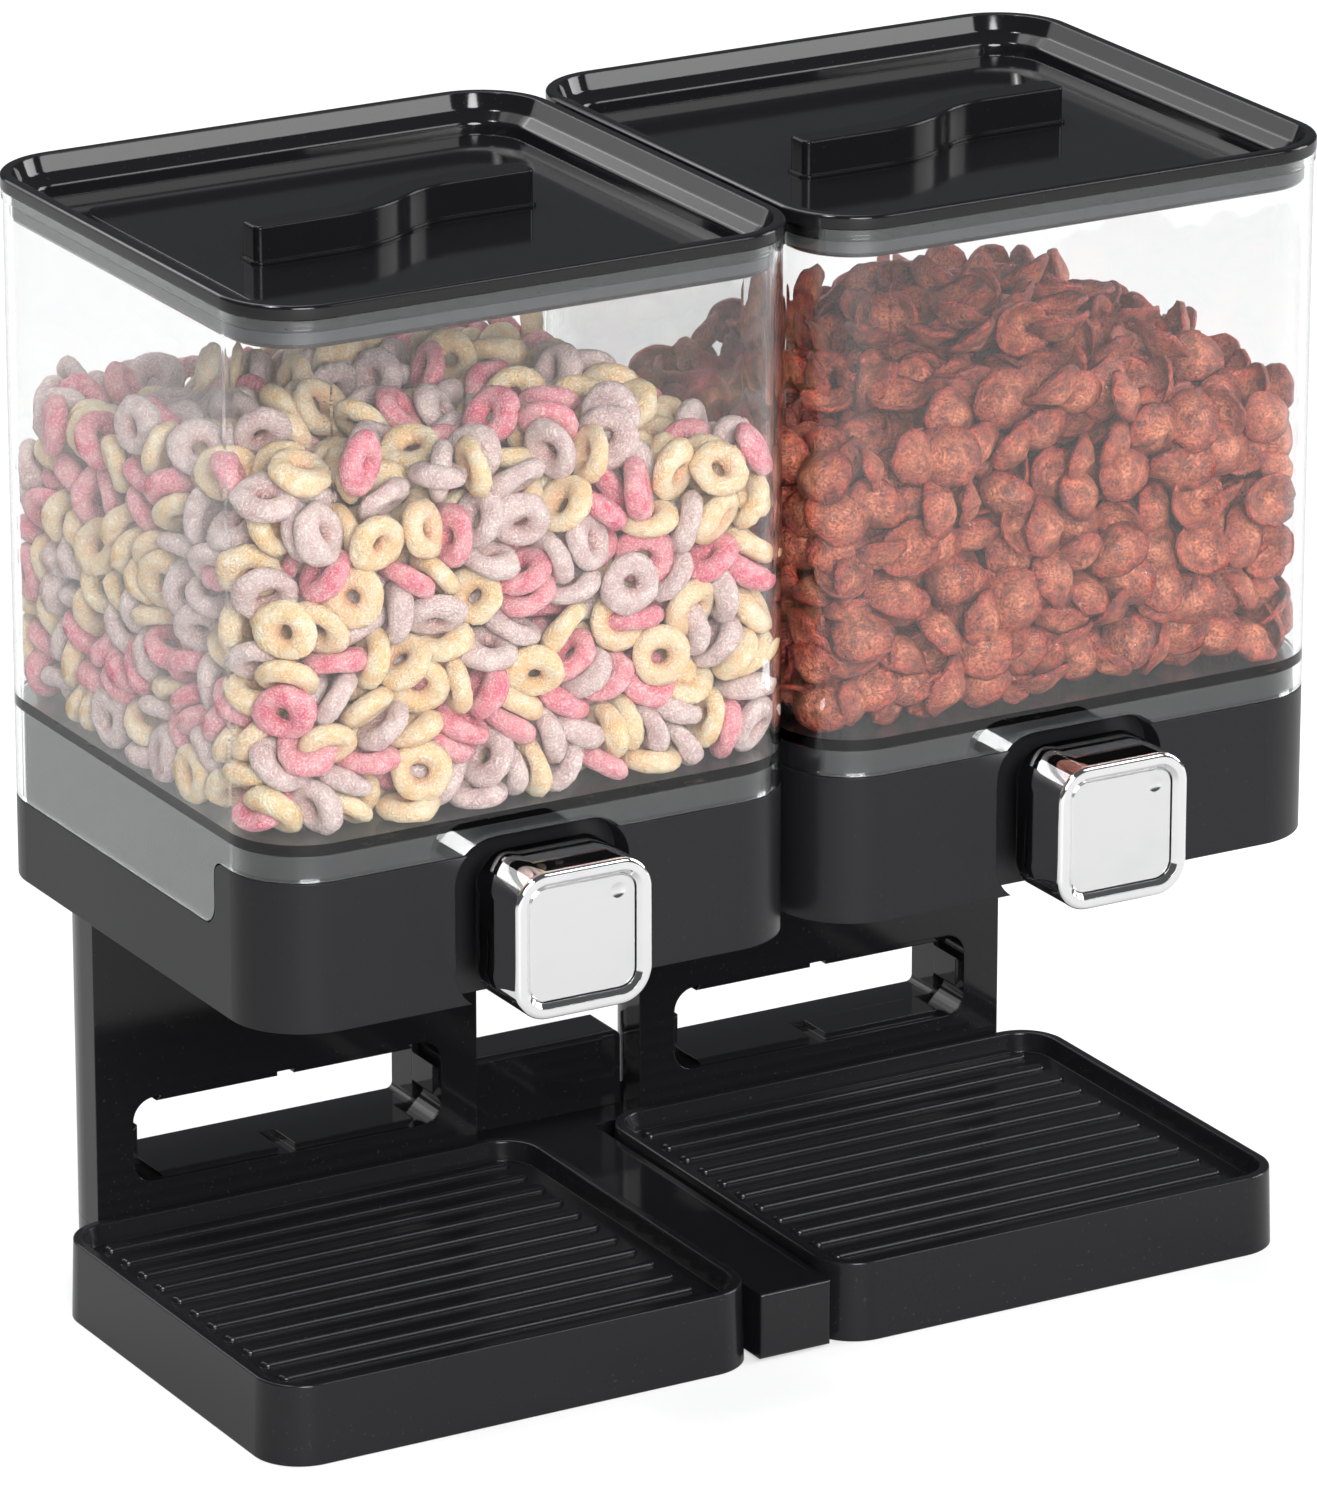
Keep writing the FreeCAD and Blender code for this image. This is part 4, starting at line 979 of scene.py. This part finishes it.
low, high = hopper_room("right")
centre, turn = settle(ball_cup(), 1.8, low, high, TUB_CORNER, flake_heap, pitch=11.4, steps=STEPS,
                      seed=12, flat=True)
kept = seen_pieces(centre, low, high)
merged("flakes", flake_shapes, centre[kept], turn[kept], kept, flake_brown, "hopper_unit_right")
flake_top = round(float(np.quantile(centre[:, 2], 0.97)), 1)
print("flakes kept:", len(kept), "of", len(centre), "top at", flake_top)

# %% [markdown]
# ## The table
# The part stands on a pale table.  Such a table can be made bright with lamps alone, but then the
# clear walls mirror it as a white haze in front of the food.  So it is as dark as a grey card in
# reflections, and glows a little only where it is seen straight or through a wall, in the way
# that black card beside a product keeps reflections down in a studio.

# %% Table
EYE_OR_THROUGH = ("Camera", "Transmission")
REACH = 6.0
GLOW = 0.46

pale_table = Finish("pale_table")
table_tone = pale_table.blend(pale_table.noise(3.0, 2.0), (0.49, 0.49, 0.49, 1),
                              (0.51, 0.51, 0.51, 1))
plain = pale_table.surface(Base_Color=table_tone, Roughness=0.7)
glowing = pale_table.surface(Base_Color=table_tone, Roughness=0.7, Emission_Color=(1, 1, 1, 1),
                             Emission_Strength=GLOW)
table_top = pale_table.add("MixShader", {}, {0: pale_table.ray(*EYE_OR_THROUGH), 1: plain,
                                             2: glowing})
table_mesh = bpy.data.meshes.new("floor")
table_mesh.from_pydata([(-REACH, -REACH, 0), (REACH, -REACH, 0), (REACH, REACH, 0),
                        (-REACH, REACH, 0)], [], [(0, 1, 2, 3)])
table_mesh.materials.append(pale_table.done(Surface=table_top))
table = bpy.data.objects.new("floor", table_mesh)
bpy.context.scene.collection.objects.link(table)
table.location.z = -0.0002
print("table reaches", REACH, "m each way")

# %% [markdown]
# ## The room
# For the same reason the room is white to the eye and through the clear walls, and dim to all
# other rays.  What the black gloss shows is then left to the lamps.

# %% World
WHITE = (1, 1, 1, 1)
ROOM_TINT = (0.95, 0.97, 1.0, 1)
ROOM_LIGHT = 0.1

world = bpy.data.worlds.new("studio")
world.use_nodes = True
bpy.context.scene.world = world
studio = Nodes(world.node_tree)
room = studio.add("Background", {}, {"Color": ROOM_TINT, "Strength": ROOM_LIGHT})
backdrop = studio.add("Background", {}, {"Color": WHITE, "Strength": 1.0})
around = studio.add("MixShader", {}, {0: studio.ray(*EYE_OR_THROUGH), 1: room, 2: backdrop})
studio.add("OutputWorld", {}, {"Surface": around})
print("nodes in the world:", len(world.node_tree.nodes))

# %% [markdown]
# ## The lamps
# Black gloss shows only what it reflects, so the lamps matter more for their shape than for
# their strength.  One large box overhead would end in a hard line across the lids.  Four boxes of
# growing depth, stacked into one, fade out towards the back.  The streak and the spot in the
# lids' corners are stacked in the same way.  A round lamp in front lights the faces and the
# food, and low ones at the sides draw the edges of the casings and of the trays' ribs.

# %% Lamps
def softbox(name, place, target, width, height, power, shape="RECTANGLE"):
    """An area lamp that looks at a target."""
    light = bpy.data.lights.new(name, "AREA")
    light.shape = shape
    light.size, light.size_y, light.energy = width, height, power
    item = bpy.data.objects.new(name, light)
    bpy.context.scene.collection.objects.link(item)
    item.location = place
    item.rotation_euler = (Vector(target) - Vector(place)).to_track_quat("-Z", "Y").to_euler()
    return item


middle = (0.0, 0.0, 0.15)
lid_middle = (0.0, 0.0, 0.32)
for depth in (1.4, 1.9, 2.4, 2.9):
    y = 0.35 + depth / 2
    softbox("overhead", (-0.1, y, 2.2), (-0.1, y, 0.0), 0.7 * depth + 0.4, depth, 24.0)
softbox("ribs", (1.08, -1.45, 1.5), (0.0, 0.0, 0.02), 0.75, 0.75, 12.0)
for width, power in ((0.25, 1.2), (0.5, 1.6), (0.8, 2.0)):
    softbox("lid_streak", (-0.66, 1.64, 1.26), lid_middle, width, 1.4 * width, power, "ELLIPSE")
for width, power in ((0.12, 3.0), (0.3, 4.0), (0.5, 4.0)):
    softbox("lid_spot", (-0.85, -0.1, 2.1), lid_middle, width, width, power, "DISK")
softbox("front", (-0.7, -2.3, 1.2), middle, 1.3, 1.3, 88.0, "DISK")
softbox("back_left", (-1.1, 2.0, 0.8), (0.0, 0.0, 0.25), 0.9, 0.7, 3.0)
softbox("right", (1.9, -0.5, 0.9), middle, 0.8, 1.2, 26.0)
bpy.context.scene.view_settings.view_transform = "Standard"
bpy.context.scene.view_settings.look = "None"
